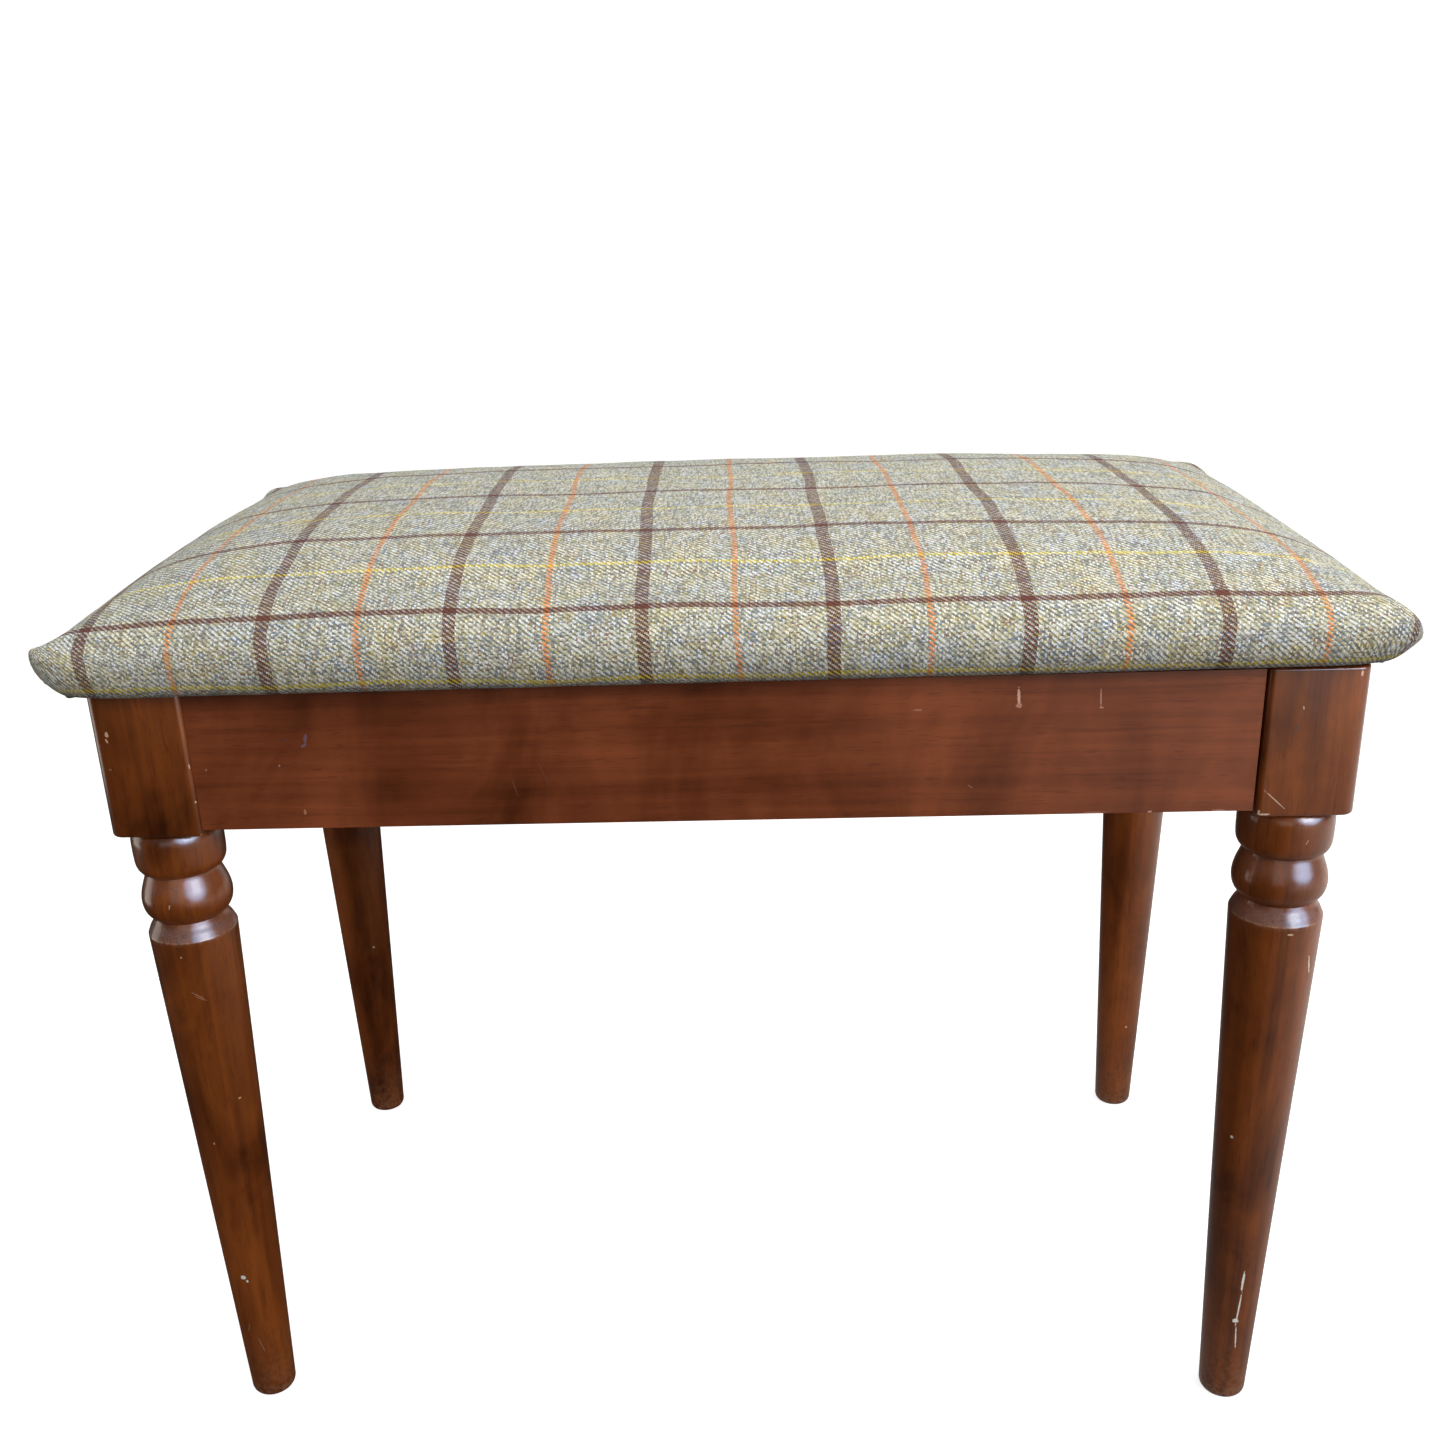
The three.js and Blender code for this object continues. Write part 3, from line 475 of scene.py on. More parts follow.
def turned(name, profile, sides, material, degrees, matrix=Matrix.Identity(4), thread=None):
    """A solid of revolution about +Z, from (radius, height) in mm, its ends on the axis.
    thread is (lowest, highest, pitch, depth) in mm of a helical groove."""
    bm = bmesh.new()
    rings = []
    profile = [(r * MM, z * MM) for r, z in profile]
    thread = thread and [value * MM for value in thread]

    def radius_at(radius, height, share):
        if thread is None or not thread[0] <= height <= thread[1]:
            return radius
        turn = (height / thread[2] + share) % 1
        return radius - thread[3] * abs(2 * turn - 1)

    for radius, height in profile:
        if radius < 1e-9:
            rings.append([bm.verts.new(matrix @ Vector((0, 0, height)))])
            continue
        ring = []
        for i in range(sides):
            angle = 2 * math.pi * i / sides
            out = radius_at(radius, height, i / sides)
            at = Vector((out * math.cos(angle), out * math.sin(angle), height))
            ring.append(bm.verts.new(matrix @ at))
        rings.append(ring)
    for low, high in zip(rings, rings[1:]):
        for i in range(sides):
            j = (i + 1) % sides
            around = [low[i % len(low)], low[j % len(low)],
                      high[j % len(high)], high[i % len(high)]]
            face = list(dict.fromkeys(around))
            if len(face) > 2:
                bm.faces.new(face)
    return from_bmesh(name, bm, material, degrees)


def loft_mesh(bm, rings, matrix=Matrix.Identity(4)):
    """Adds a closed solid through rings of equal length, capped at both ends."""
    made = [[bm.verts.new(matrix @ Vector(p)) for p in ring] for ring in rings]
    for low, high in zip(made, made[1:]):
        for i in range(len(low)):
            j = (i + 1) % len(low)
            bm.faces.new([low[i], low[j], high[j], high[i]])
    bm.faces.new(list(reversed(made[0])))
    bm.faces.new(made[-1])


def rounded_outline(half_x, half_y, radii, steps):
    """Corners in the order (+x,+y), (-x,+y), (-x,-y), (+x,-y)."""
    points = []
    for quarter, radius in enumerate(radii):
        sx = 1 if quarter in (0, 3) else -1
        sy = 1 if quarter < 2 else -1
        for step in range(steps + 1):
            angle = (quarter + step / steps) * math.pi / 2
            points.append((sx * (half_x - radius) + radius * math.cos(angle),
                           sy * (half_y - radius) + radius * math.sin(angle)))
    return points


def soften_edges(obj, width, segments=3):
    """Rounds a CAD node's hard edges for the render; its own mesh stays as it is."""
    modifier = obj.modifiers.new("rounded_edges", "BEVEL")
    modifier.width = width
    modifier.segments = segments
    modifier.limit_method = "ANGLE"
    modifier.angle_limit = math.radians(30)
    shade_by_angle(obj, 40)


def write_attribute(mesh, name, values):
    attribute = mesh.attributes.new(name, "FLOAT", "POINT")
    attribute.data.foreach_set("value", np.asarray(values, np.float32))


def paint(name, material):
    """Gives a CAD node its material."""
    obj = nodes[name]
    obj.data.materials.clear()
    obj.data.materials.append(material)
    return obj


def coordinates(mesh):
    co = np.zeros(len(mesh.vertices) * 3)
    mesh.vertices.foreach_get("co", co)
    return co.reshape(-1, 3)


# ------------------------------------------------------------------ legs
# Radius and height of the turned part, in mm: foot, taper, shoulder, cove, bell bead, collar.
def smooth_profile(points, steps=5):
    """A curve through the points (Catmull-Rom), without overshoot at the ends."""
    pts = [np.array(p, float) for p in points]
    pts = [2 * pts[0] - pts[1], *pts, 2 * pts[-1] - pts[-2]]
    out = []
    for a, b, c, d in zip(pts, pts[1:], pts[2:], pts[3:]):
        for step in range(steps):
            t = step / steps
            out.append(0.5 * (2 * b + (c - a) * t + (2 * a - 5 * b + 4 * c - d) * t ** 2
                              + (3 * b - a - 3 * c + d) * t ** 3))
    out.append(pts[-2])
    return [tuple(p) for p in out]


FOOT = [(0, 0), (8.6, 0), (10.0, 0.2), (11.3, 0.9), (12.1, 2.1), (12.5, 3.6)]
TAPER_TOP = (22.6, 305.4)
TAPER_STEPS = [0.02, *np.linspace(0.05, 0.95, 26), 0.975, 0.988, 0.994, 1]
TAPER = [tuple(a + (b - a) * t for a, b in zip(FOOT[-1], TAPER_TOP)) for t in TAPER_STEPS]
SHOULDER = smooth_profile([(22.55, 305.8), (22.2, 306.6), (21.0, 309.2), (19.3, 311.9),
                           (18.35, 314.6)], 4)
BELL = smooth_profile([(18.5, 315.0), (19.9, 316.2), (22.0, 319.6), (22.8, 324.8), (22.0, 330),
                       (20.3, 335), (19.0, 338.6), (18.6, 340.2)], 5)
COLLAR = smooth_profile([(18.8, 340.6), (20.7, 341.6), (22.3, 344.4), (22.8, 348.5), (22.9, 356),
                         (22.6, 360.4), (21.4, 363.6), (19.2, 366.2), (18.6, 368.5)], 4)
SHOULDER_Z, COVE_Z, BEAD_Z, NECK_Z = 305.9, 314.8, 335, 340.3


def leg_mesh(name, material):
    """One leg in its own corner's frame: block at the top, its rounded edge towards +X +Y."""
    profile = [*FOOT, *TAPER, *SHOULDER, *BELL, *COLLAR, (0, COLLAR[-1][1])]
    leg = turned(name, profile, 96, material, 50)
    head = bmesh.new()
    half = BLOCK / 2
    bevel = 1.5 * MM
    rings = [(BLOCK_BOTTOM + bevel * (1 - math.cos(a)), bevel * (1 - math.sin(a)))
             for a in np.linspace(0, math.pi / 2, 6)]
    mirrored = [(BLOCK_TOP + BLOCK_BOTTOM - z, inset) for z, inset in reversed(rings)]
    loops = []
    for z, inset in rings + mirrored:
        radii = [7 * MM - inset, 2.6 * MM - inset * 0.9, 7 * MM, 2.6 * MM - inset * 0.9]
        outline = rounded_outline(half - inset, half - inset, radii, 8)
        loops.append([(x + OFF_AXIS, y + OFF_AXIS, z) for x, y in outline])
    loft_mesh(head, loops)
    block = from_bmesh(name + "_block", head, material, 40)
    combine(leg, block, "UNION")
    shade_by_angle(leg, 38)
    return leg


def apply_modifiers(obj):
    """Replaces the mesh by what its modifiers make of it."""
    graph = bpy.context.evaluated_depsgraph_get()
    graph.update()
    mesh = bpy.data.meshes.new_from_object(obj.evaluated_get(graph), preserve_all_data_layers=True,
                                           depsgraph=graph)
    obj.modifiers.clear()
    old = obj.data
    obj.data = mesh
    bpy.data.meshes.remove(old)


def combine(obj, other, operation, use_self=False):
    """Adds another object to this one or cuts it away, and removes the other."""
    modifier = obj.modifiers.new("combine", "BOOLEAN")
    modifier.operation = operation
    modifier.solver = "EXACT"
    modifier.use_self = use_self
    modifier.object = other
    apply_modifiers(obj)
    bpy.data.objects.remove(other)


def smooth_all(mesh):
    mesh.polygons.foreach_set("use_smooth", [True] * len(mesh.polygons))


def thicken(obj, thickness, offset):
    """Gives a surface its thickness."""
    modifier = obj.modifiers.new("thick", "SOLIDIFY")
    modifier.thickness = thickness
    modifier.offset = offset
    apply_modifiers(obj)
    smooth_all(obj.data)


def leg_wear(mesh):
    """Rubbed edges, scuffed feet, a pale line under the shoulder that is partly wear and partly a
    painted highlight, and grey in the cove and on the bead's shoulders that is partly dust and
    partly a painted reflection of the sky.
    """
    co = coordinates(mesh) / MM
    x, y, z = co.T
    radius = np.hypot(x, y)
    foot = np.clip(1 - z / 70, 0, 1) ** 2 * 0.35 + np.clip(1 - z / 6, 0, 1) * 0.5
    # A thin pale line just under the shoulder: partly wear, partly a painted highlight on the sharp
    # edge.
    ridge = np.exp(-((z - SHOULDER_Z) / 0.45) ** 2) * (radius < 23)
    write_attribute(mesh, "wear_and_painted_highlight", np.clip(foot + ridge, 0, 1))
    # Grey in the cove, neck and on the bead: partly dust, partly a painted reflection of the sky.
    cove = np.clip((COVE_Z - z) / 4, 0, 1) * np.clip((z - SHOULDER_Z) / 0.8, 0, 1)
    neck = np.exp(-((z - NECK_Z) / 1.6) ** 2) * 0.5
    bead_top = np.clip(1 - np.abs(z - BEAD_Z) / 5, 0, 1) * 0.3
    write_attribute(mesh, "dust_and_painted_sheen", np.clip(cove + neck + bead_top, 0, 1))


PURPLE = (0.19, 0.1, 0.13)
LEG_MARKS = {
    "front_left": [
        ((-293.4, -172, 420.5), (0.9, 2, 1.5), 0, MARK_PALE),
        ((-294.0, -172, 417.4), (0.5, 2, 1.3), 20, MARK_PALE),
        ((-295.0, -172, 402.5), (0.8, 2, 0.4), 0, (0.35, 0.16, 0.1)),
        ((-256.0, -172, 403), (0.3, 2, 1.6), 0, MARK_PALE),
        ((-255.8, -172, 384.3), (0.5, 2, 0.7), 0, MARK_PALE),
        ((-255.6, -172, 366.6), (0.9, 2, 0.7), 0, MARK_PALE),
        ((-273.4, -168.5, 275.4), (4.4, 3, 0.22), -38, (0.4, 0.24, 0.17)),
        ((-272.0, -168.5, 273.2), (3.6, 3, 0.2), -32, (0.36, 0.2, 0.13)),
        ((-277.8, -170, 298.1), (0.5, 2, 0.6), 0, MARK_PALE),
        ((-263.7, -161, 207.7), (0.7, 2, 0.7), 0, MARK_PALE),
        ((-280.2, -166, 182.1), (0.5, 2, 0.8), 0, (0.5, 0.3, 0.2)),
        ((-278.9, -163, 89.8), (1.7, 3, 1.6), 0, PAINT_WHITE),
        ((-277.0, -163, 87.2), (0.7, 3, 0.9), 0, PAINT_WHITE),
        ((-276.0, -162, 40), (0.4, 3, 6), 12, (0.3, 0.14, 0.08)),
        ((-282.0, -162, 52), (0.3, 3, 5), -20, (0.28, 0.13, 0.07)),
        ((-279.0, -170, 326.8), (0.35, 3, 1.6), -12, (0.6, 0.36, 0.25)),
    ],
    "front_right": [
        ((263.1, -172, 375.2), (7.2, 2, 0.28), -43, (0.62, 0.45, 0.36)),
        ((259.0, -172, 367.6), (3.4, 2, 0.5), 0, (0.6, 0.45, 0.36)),
        ((256.6, -172, 368.6), (0.5, 2, 1.7), 0, (0.6, 0.45, 0.36)),
        ((296.4, -171.5, 436.9), (0.6, 3, 1.6), 0, (0.75, 0.5, 0.38)),
        ((271.9, -172, 420.7), (0.35, 2, 1.1), 10, (0.5, 0.4, 0.36)),
        ((270.2, -172, 410.9), (1.0, 2, 0.9), 0, (0.09, 0.045, 0.03)),
        ((278.9, -170.5, 302.2), (1.7, 3, 0.55), 0, MARK_PALE),
        ((291.6, -166, 282.4), (0.55, 4, 6.6), 9, (0.7, 0.52, 0.4)),
        ((264.6, -160.5, 178.0), (0.8, 3, 0.9), 0, (0.8, 0.72, 0.66)),
        ((278.2, -163.4, 86.0), (0.7, 3, 7.5), -2, PAINT_WHITE),
        ((277.8, -162.6, 66.0), (0.45, 3, 13), -3, PAINT_WHITE),
        ((276.8, -162.0, 58.0), (2.0, 3, 1.5), 0, PAINT_WHITE),
        ((278.2, -162.0, 46.0), (0.4, 3, 8), 4, PAINT_WHITE),
        ((281.5, -169, 352.0), (0.3, 3, 1.8), -25, (0.5, 0.3, 0.22)),
        ((266.0, -160, 30), (0.4, 3, 4), 10, (0.4, 0.24, 0.16)),
    ],
    "rear_left": [((-268.8, 133.5, 143.9), (0.8, 3, 0.8), 0, MARK_PALE)],
    "rear_right": [((280.9, 133.5, 69.3), (0.8, 3, 0.9), 0, MARK_PALE)],
}
FRONT_APRON_MARKS = [
    ((-197.4, -170, 415.6), (0.9, 2, 2.6), -15, PURPLE),
    ((-198.6, -170, 412.0), (1.9, 2, 0.8), 30, PURPLE),
    ((-208.5, -170, 415.4), (1.6, 2, 0.6), 30, (0.11, 0.04, 0.04)),
    ((-202.6, -170, 377.5), (0.7, 2, 1.7), 0, (0.42, 0.2, 0.1)),
    ((141.8, -170, 428.4), (0.75, 2, 5.2), 3, (0.68, 0.42, 0.32)),
    ((142.1, -170, 424.2), (1.5, 2, 1.2), 0, (0.5, 0.24, 0.17)),
    ((179.6, -170, 427.0), (0.28, 2, 4.6), 3, (0.55, 0.3, 0.22)),
    ((180.2, -170, 422.3), (0.9, 2, 0.4), 0, (0.55, 0.3, 0.22)),
    ((95.2, -170, 423.1), (2.2, 2, 0.55), 0, (0.4, 0.17, 0.11)),
    ((-212.0, -170, 402.0), (0.5, 2, 0.6), 0, (0.42, 0.2, 0.14)),
    ((-248.5, -170, 400.6), (0.5, 2, 0.6), 0, (0.4, 0.18, 0.12)),
    ((120.6, -170, 384.0), (1.8, 2, 0.22), -38, (0.36, 0.16, 0.1)),
    ((-98.0, -170, 388.0), (0.2, 2, 5.5), 14, (0.2, 0.08, 0.05)),
    ((-84.0, -170, 396.0), (0.2, 2, 7.5), 20, (0.18, 0.07, 0.045)),
    ((180.1, -170, 369.4), (6.5, 3, 0.45), 0, (0.3, 0.13, 0.09)),
    ((206.0, -170, 369.3), (1.2, 3, 0.5), 0, (0.5, 0.3, 0.22)),
    ((238.2, -170, 369.3), (4.0, 3, 0.5), 0, (0.4, 0.2, 0.14)),
]
QUARTER_TURNS = {"rear_right": 0, "rear_left": 1, "front_left": 2, "front_right": 3}
LEG_DARK = (0.05, 0.01, 0.0014)
LEG_LIGHT = (0.32, 0.08, 0.012)


def build_legs():
    pattern = leg_mesh("leg_pattern", None)
    leg_wear(pattern.data)
    for index, (name, (sx, sy)) in enumerate(CORNERS.items()):
        wood = stained_wood(f"leg_wood_{name}", "Z", LEG_DARK, LEG_LIGHT, seed=index + 1.0,
                            marks=LEG_MARKS[name], block_edges=True)
        leg = add_object(f"leg_{name}_turned", pattern.data.copy())
        leg.data.materials.clear()
        leg.data.materials.append(wood)
        turn = Matrix.Rotation(QUARTER_TURNS[name] * math.pi / 2, 4, "Z")
        leg.data.transform(Matrix.Translation((sx * LEG_X, sy * LEG_Y, 0)) @ turn)
        finish_piece(leg, "bench_box", "stained_leg", f"leg_{name}")
    bpy.data.objects.remove(pattern)


def finish_piece(obj, body, slot_name, *cad_nodes):
    """Rides a new piece on its body, and hides the CAD nodes that it stands for."""
    bpy.context.view_layer.update()
    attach(obj, body)
    if cad_nodes:
        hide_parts(*cad_nodes)
    return obj


# ------------------------------------------------------------------ aprons and floor
APRON_DARK = (0.085, 0.018, 0.004)
APRON_LIGHT = (0.31, 0.078, 0.026)


def build_box():
    for name, grain, raw, seed in (
        ("front_apron", "X", (1, -INNER_Y), 11.0),
        ("rear_apron", "X", (1, INNER_Y), 12.0),
        ("left_apron", "Y", (0, -INNER_X), 13.0),
        ("right_apron", "Y", (0, INNER_X), 14.0),
    ):
        marks = FRONT_APRON_MARKS if name == "front_apron" else ()
        wood = stained_wood(name + "_wood", grain, APRON_DARK, APRON_LIGHT, seed, marks, raw)
        soften_edges(paint(name, wood), 0.9 * MM)
    paint("compartment_floor", plain_ply("floor_ply"))


# ------------------------------------------------------------------ hardware
def placed(pattern, name, matrix, body, slot_name, *cad_nodes):
    """A copy of a pattern mesh, put in place in the bench's own coordinates."""
    made = add_object(name, pattern.data.copy())
    made.data.transform(matrix)
    return finish_piece(made, body, slot_name, *cad_nodes)


def screw_pattern(name, material):
    """A countersunk wood screw along -Z, its head's face at the origin, with a cross recess."""
    shank = [(1.3 - 0.045 * i, -2.1 - 0.22 * i) for i in range(31)]
    profile = [(0, 0), (2.5, 0), (2.68, -0.12), (2.68, -0.3), *shank, (0, -10)]
    screw = turned(name, profile, 28, material, 40, thread=(-8.8, -2.3, 0.9, 0.4))
    cutter = bmesh.new()
    for turn in (0, math.pi / 2):
        spin = Matrix.Rotation(turn, 4, "Z")
        deep = [(sx * 0.5 * MM, sy * 0.3 * MM, -1.4 * MM) for sx, sy in CORNERS.values()]
        wide = [(sx * 1.55 * MM, sy * 0.34 * MM, 0.3 * MM) for sx, sy in CORNERS.values()]
        loft_mesh(cutter, [deep, wide], spin)
    cross = from_bmesh(name + "_cross", cutter, material)
    combine(screw, cross, "DIFFERENCE", use_self=True)
    shade_by_angle(screw, 40)
    return screw


def build_screws(brass, steel):
    """The hinge screws point down into the box and up into the lid; the stay's go into the side
    apron and up into the lid. Each stands with its cross at its own angle."""
    point_up = Matrix.Rotation(math.pi, 4, "X")
    into_side = Matrix.Rotation(-math.pi / 2, 4, "Y")
    kinds = (
        ("hinge_box_screw", 4, brass, "bench_box", "hinge_brass", Matrix.Identity(4), "high"),
        ("hinge_lid_screw", 4, brass, "lid", "hinge_brass", point_up, "low"),
        ("stay_box_screw", 2, steel, "bench_box", "stay_steel", into_side, "side"),
        ("stay_lid_screw", 2, steel, "lid", "stay_steel", point_up, "low"),
    )
    pattern = screw_pattern("screw_pattern", brass)
    for stem, count, metal_used, body, slot_name, turn, head in kinds:
        for number in range(1, count + 1):
            node = f"{stem}_{number}"
            low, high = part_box(node)
            at = (low + high) / 2
            if head == "high":
                at.z = high.z
            elif head == "low":
                at.z = low.z
            else:
                at.x = low.x
            spin = Matrix.Rotation(rng.uniform(0, math.pi), 4, "Z")
            screw = placed(pattern, node + "_turned", Matrix.Translation(at) @ turn @ spin, body,
                           slot_name, node)
            screw.data.materials[0] = metal_used
    bpy.data.objects.remove(pattern)


BOLT_START, BOLT_END = 4.0, 60.0      # along the diagonal, from the compartment's corner
BOLT_RADIUS = 4.0
BOLT_PITCH = 1.25
BOLT_Z = 410.0


def build_braces(zinc):
    """Corner braces with their hanger bolts, washers and wing nuts."""
    steps = np.arange(BOLT_START + 0.9, BOLT_END - 0.9, BOLT_PITCH / 4)
    profile = [(0, BOLT_START), (3.2, BOLT_START), (BOLT_RADIUS, BOLT_START + 0.8),
               *[(BOLT_RADIUS, t) for t in steps],
               (BOLT_RADIUS, BOLT_END - 0.8), (3.2, BOLT_END), (0, BOLT_END)]
    pattern = turned("bolt_pattern", profile, 24, zinc, 50,
                     thread=(BOLT_START + 1, BOLT_END - 1, BOLT_PITCH, 0.6))
    for name, (sx, sy) in CORNERS.items():
        inward = Vector((-sx, -sy, 0)).normalized()
        matrix = Matrix.Translation((sx * INNER_X, sy * INNER_Y, BOLT_Z * MM))
        matrix = matrix @ inward.to_track_quat("Z", "Y").to_matrix().to_4x4()
        placed(pattern, f"hanger_bolt_{name}_threaded", matrix, "bench_box", "zinc_steel",
               f"hanger_bolt_{name}")
        soften_edges(paint(f"corner_brace_{name}", zinc), 0.4 * MM)
        soften_edges(paint(f"brace_washer_{name}", zinc), 0.2 * MM, 2)
        soften_edges(paint(f"wing_nut_{name}", zinc), 0.45 * MM)
    bpy.data.objects.remove(pattern)


RIVET_HEAD = 3.8
RIVET_SHANK = 2.0


def rivet_end(domed):
    """Radius and distance in mm from the end of a rivet, to where its shank begins."""
    if domed:
        return [(0, 0), (1.4, 0.05), (2.5, 0.25), (3.3, 0.6), (RIVET_HEAD, 1.05), (RIVET_HEAD, 1.2),
                (RIVET_SHANK, 1.2)]
    return [(0, 0), (RIVET_SHANK - 0.2, 0), (RIVET_SHANK, 0.2)]


def build_stay(steel):
    """The lid stay's two arms and its plates, and the rivets that they turn on."""
    for node in ("stay_box_plate", "stay_lid_plate", "stay_lower_arm", "stay_upper_arm"):
        soften_edges(paint(node, steel), 0.25 * MM, 2)
    for node, body, low_head, high_head in (
        ("stay_box_rivet", "bench_box", True, False),
        ("stay_lid_rivet", "lid", True, True),
        ("stay_elbow_rivet_lower", "stay_lower", False, True),
        ("stay_elbow_rivet_upper", "stay_upper", True, False),
    ):
        low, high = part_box(node)
        length = (high.x - low.x) / MM
        profile = rivet_end(low_head) + [(r, length - t) for r, t in reversed(rivet_end(high_head))]
        centre = Vector((low.x, (low.y + high.y) / 2, (low.z + high.z) / 2))
        matrix = Matrix.Translation(centre) @ Matrix.Rotation(math.pi / 2, 4, "Y")
        rivet = turned(node + "_domed", profile, 32, steel, 45, matrix)
        finish_piece(rivet, body, "stay_steel", node)


def build_bumpers():
    felt = felt_cloth("bumper_felt", (0.06, 0.052, 0.045))
    for name in CORNERS:
        low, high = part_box(f"felt_bumper_{name}")
        thick = (high.z - low.z) / MM
        profile = [(0, 0), (3, 0), (5.8, 0), (5.98, 0.3), (5.9, thick - 0.35), (5.4, thick - 0.05),
                   (4, thick), (2, thick), (0, thick)]
        centre = Matrix.Translation(((low.x + high.x) / 2, (low.y + high.y) / 2, low.z))
        bumper = turned(f"felt_bumper_{name}_soft", profile, 48, felt, 60, centre)
        finish_piece(bumper, "bench_box", "felt", f"felt_bumper_{name}")


def build_hardware():
    brass = metal("aged_brass", (0.62, 0.42, 0.17), 0.34, (0.16, 0.09, 0.04))
    steel = metal("stay_steel", (0.42, 0.41, 0.39), 0.36, (0.14, 0.07, 0.035))
    zinc = metal("zinc_plate", (0.6, 0.58, 0.52), 0.38, (0.24, 0.2, 0.15))
    for side in ("left", "right"):
        for node in ("hinge_box_leaf", "hinge_lid_leaf", "hinge_pin"):
            soften_edges(paint(f"{node}_{side}", brass), 0.12 * MM, 2)
    build_screws(brass, steel)
    build_braces(zinc)
    build_stay(steel)
    build_bumpers()
    build_staples(zinc)


STAPLE_X, STAPLE_Y = 296.0, 164.0     # mm from the lid's middle to the rows of staples
STAPLE_TIP = 445.5            # their prongs reach up to this height, inside the board
STAPLE_STEP = 23.0
STAPLE_WIDE = 9.5
WIRE = 0.55


def build_staples(zinc):
    """Staples that hold the turned-under tweed to the board, each a little askew."""
    bm = bmesh.new()
    spots = []
    for sign in (-1, 1):
        for x in np.arange(-STAPLE_X + 12, STAPLE_X - 8, STAPLE_STEP):
            spots.append((x, sign * STAPLE_Y, 0))
        for y in np.arange(-STAPLE_Y + 14, STAPLE_Y - 8, STAPLE_STEP):
            spots.append((sign * STAPLE_X, y, math.pi / 2))
    bottom = LID_UNDERSIDE / MM - WIRE * 0.6
    for x, y, turn in spots:
        spin = Matrix.Rotation(turn + rng.normal(0, 0.16), 4, "Z")
        shift = rng.normal(0, 1.3, 2)
        place = Matrix.Translation(((x + shift[0]) * MM, (y + shift[1]) * MM, 0)) @ spin
        half = STAPLE_WIDE / 2
        bend = [(half - 0.7, bottom), (half - 0.2, bottom + 0.2), (half, bottom + 0.7),
                (half, STAPLE_TIP)]
        path = [(-u, z) for u, z in reversed(bend)] + bend
        rings = []
        for i, (u, z) in enumerate(path):
            before, after = path[max(i - 1, 0)], path[min(i + 1, len(path) - 1)]
            run = np.array([after[0] - before[0], after[1] - before[1]])
            run = run / np.linalg.norm(run)
            across = np.array([-run[1], run[0]]) * WIRE / 2
            rings.append([((u + a * across[0]) * MM, b * WIRE * MM, (z + a * across[1]) * MM)
                          for a, b in ((1, 1), (-1, 1), (-1, -1), (1, -1))])
        loft_mesh(bm, rings, place)
    finish_piece(from_bmesh("border_staples", bm, zinc, 30), "lid", "zinc_steel")


# ------------------------------------------------------------------ cushion
RISE_POWER = 2.79             # the crown's section: a superellipse from edge to middle
RISE_ROOT = 2.21
BULGE_Z = 455 * MM            # the padded edge stands out furthest here
ROLL_IN = 8 * MM              # from there it rolls in by this much to the underside
CORNER_RADIUS = 9 * MM
BORDER = 34 * MM              # fabric turned under
SOFT_CORNER = 3.5             # how the two slopes meet over a corner
CORNER_DROP = 5.4 * MM        # the padding is pulled down towards each corner
RIGHT_DROP = 3.2 * MM
REAR_DROP = 3.0 * MM
CORNER_REACH = 89 * MM
DROP_FADE = 6 * MM
NOSE_REACH = 17 * MM
PLUMP_AT, PLUMP_REACH = 20 * MM, 13 * MM
LEFT, RIGHT = -318.6 * MM, 316.6 * MM
FRONT, REAR = -189.5 * MM, 188 * MM
NOSE_LEFT = 7.5 * MM          # the corner is turned up into a blunt nose
NOSE_RIGHT = 1 * MM
PLUMP_RIGHT = 1.8 * MM        # the padding just inside the other three corners stands high
PLUMP_REAR = 2.5 * MM
TUCK = 9 * MM                 # below each corner the cloth is cut back by this much
FRONT_UNDER = 6 * MM          # the front is pulled under, more at the right end than the left
FRONT_UNDER_RIGHT = 4.5 * MM
FULLER_LEFT = 1.3 * MM        # the padding is a little thicker at the left end
CLOTH_STEP = 6.0 * MM


def crown(inset):
    """Height of the lid's top surface above the bulge, at a distance inside the outline."""
    share = np.clip(1 - inset / LID_Y, 0, 1)
    return (LID_TOP - BULGE_Z) * (1 - share ** RISE_POWER) ** (1 / RISE_ROOT)


_inset = LID_Y * np.linspace(0, 1, 4001) ** 2
_arc = np.concatenate([[0], np.cumsum(np.hypot(np.diff(_inset), np.diff(crown(_inset))))])


def arc_of(inset):
    return np.interp(inset, _inset, _arc) + np.maximum(inset - LID_Y, 0)


def inset_of(arc):
    return np.interp(arc, _arc, _inset) + np.maximum(arc - _arc[-1], 0)


def cloth_axis(low, high):
    """Cloth coordinates across the lid at even steps, and the share of the way out of each."""
    cloth, share = [], []
    for half, side in ((-low, -1), (high, 1)):
        total = float(arc_of(np.array(half)))
        steps = np.linspace(0, total, int(round(total / CLOTH_STEP)) + 1)
        cloth.append(side * steps)
        share.append(side * (1 - inset_of(total - steps) / half))
    return (np.concatenate([cloth[0][::-1], cloth[1][1:]]),
            np.concatenate([share[0][::-1], share[1][1:]]))


def edge_curve(share, half_long, half_short, radius):
    """A point on one side of the outline, from corner to corner: (along, outwards)."""
    reach = np.abs(share) * half_long
    into = np.clip((reach - (half_long - radius)) / radius, 0, 1)
    angle = into * math.pi / 4
    along = np.where(into > 0, half_long - radius + radius * np.sin(angle), reach)
    out = np.where(into > 0, half_short - radius + radius * np.cos(angle), half_short)
    return np.sign(share) * along, out


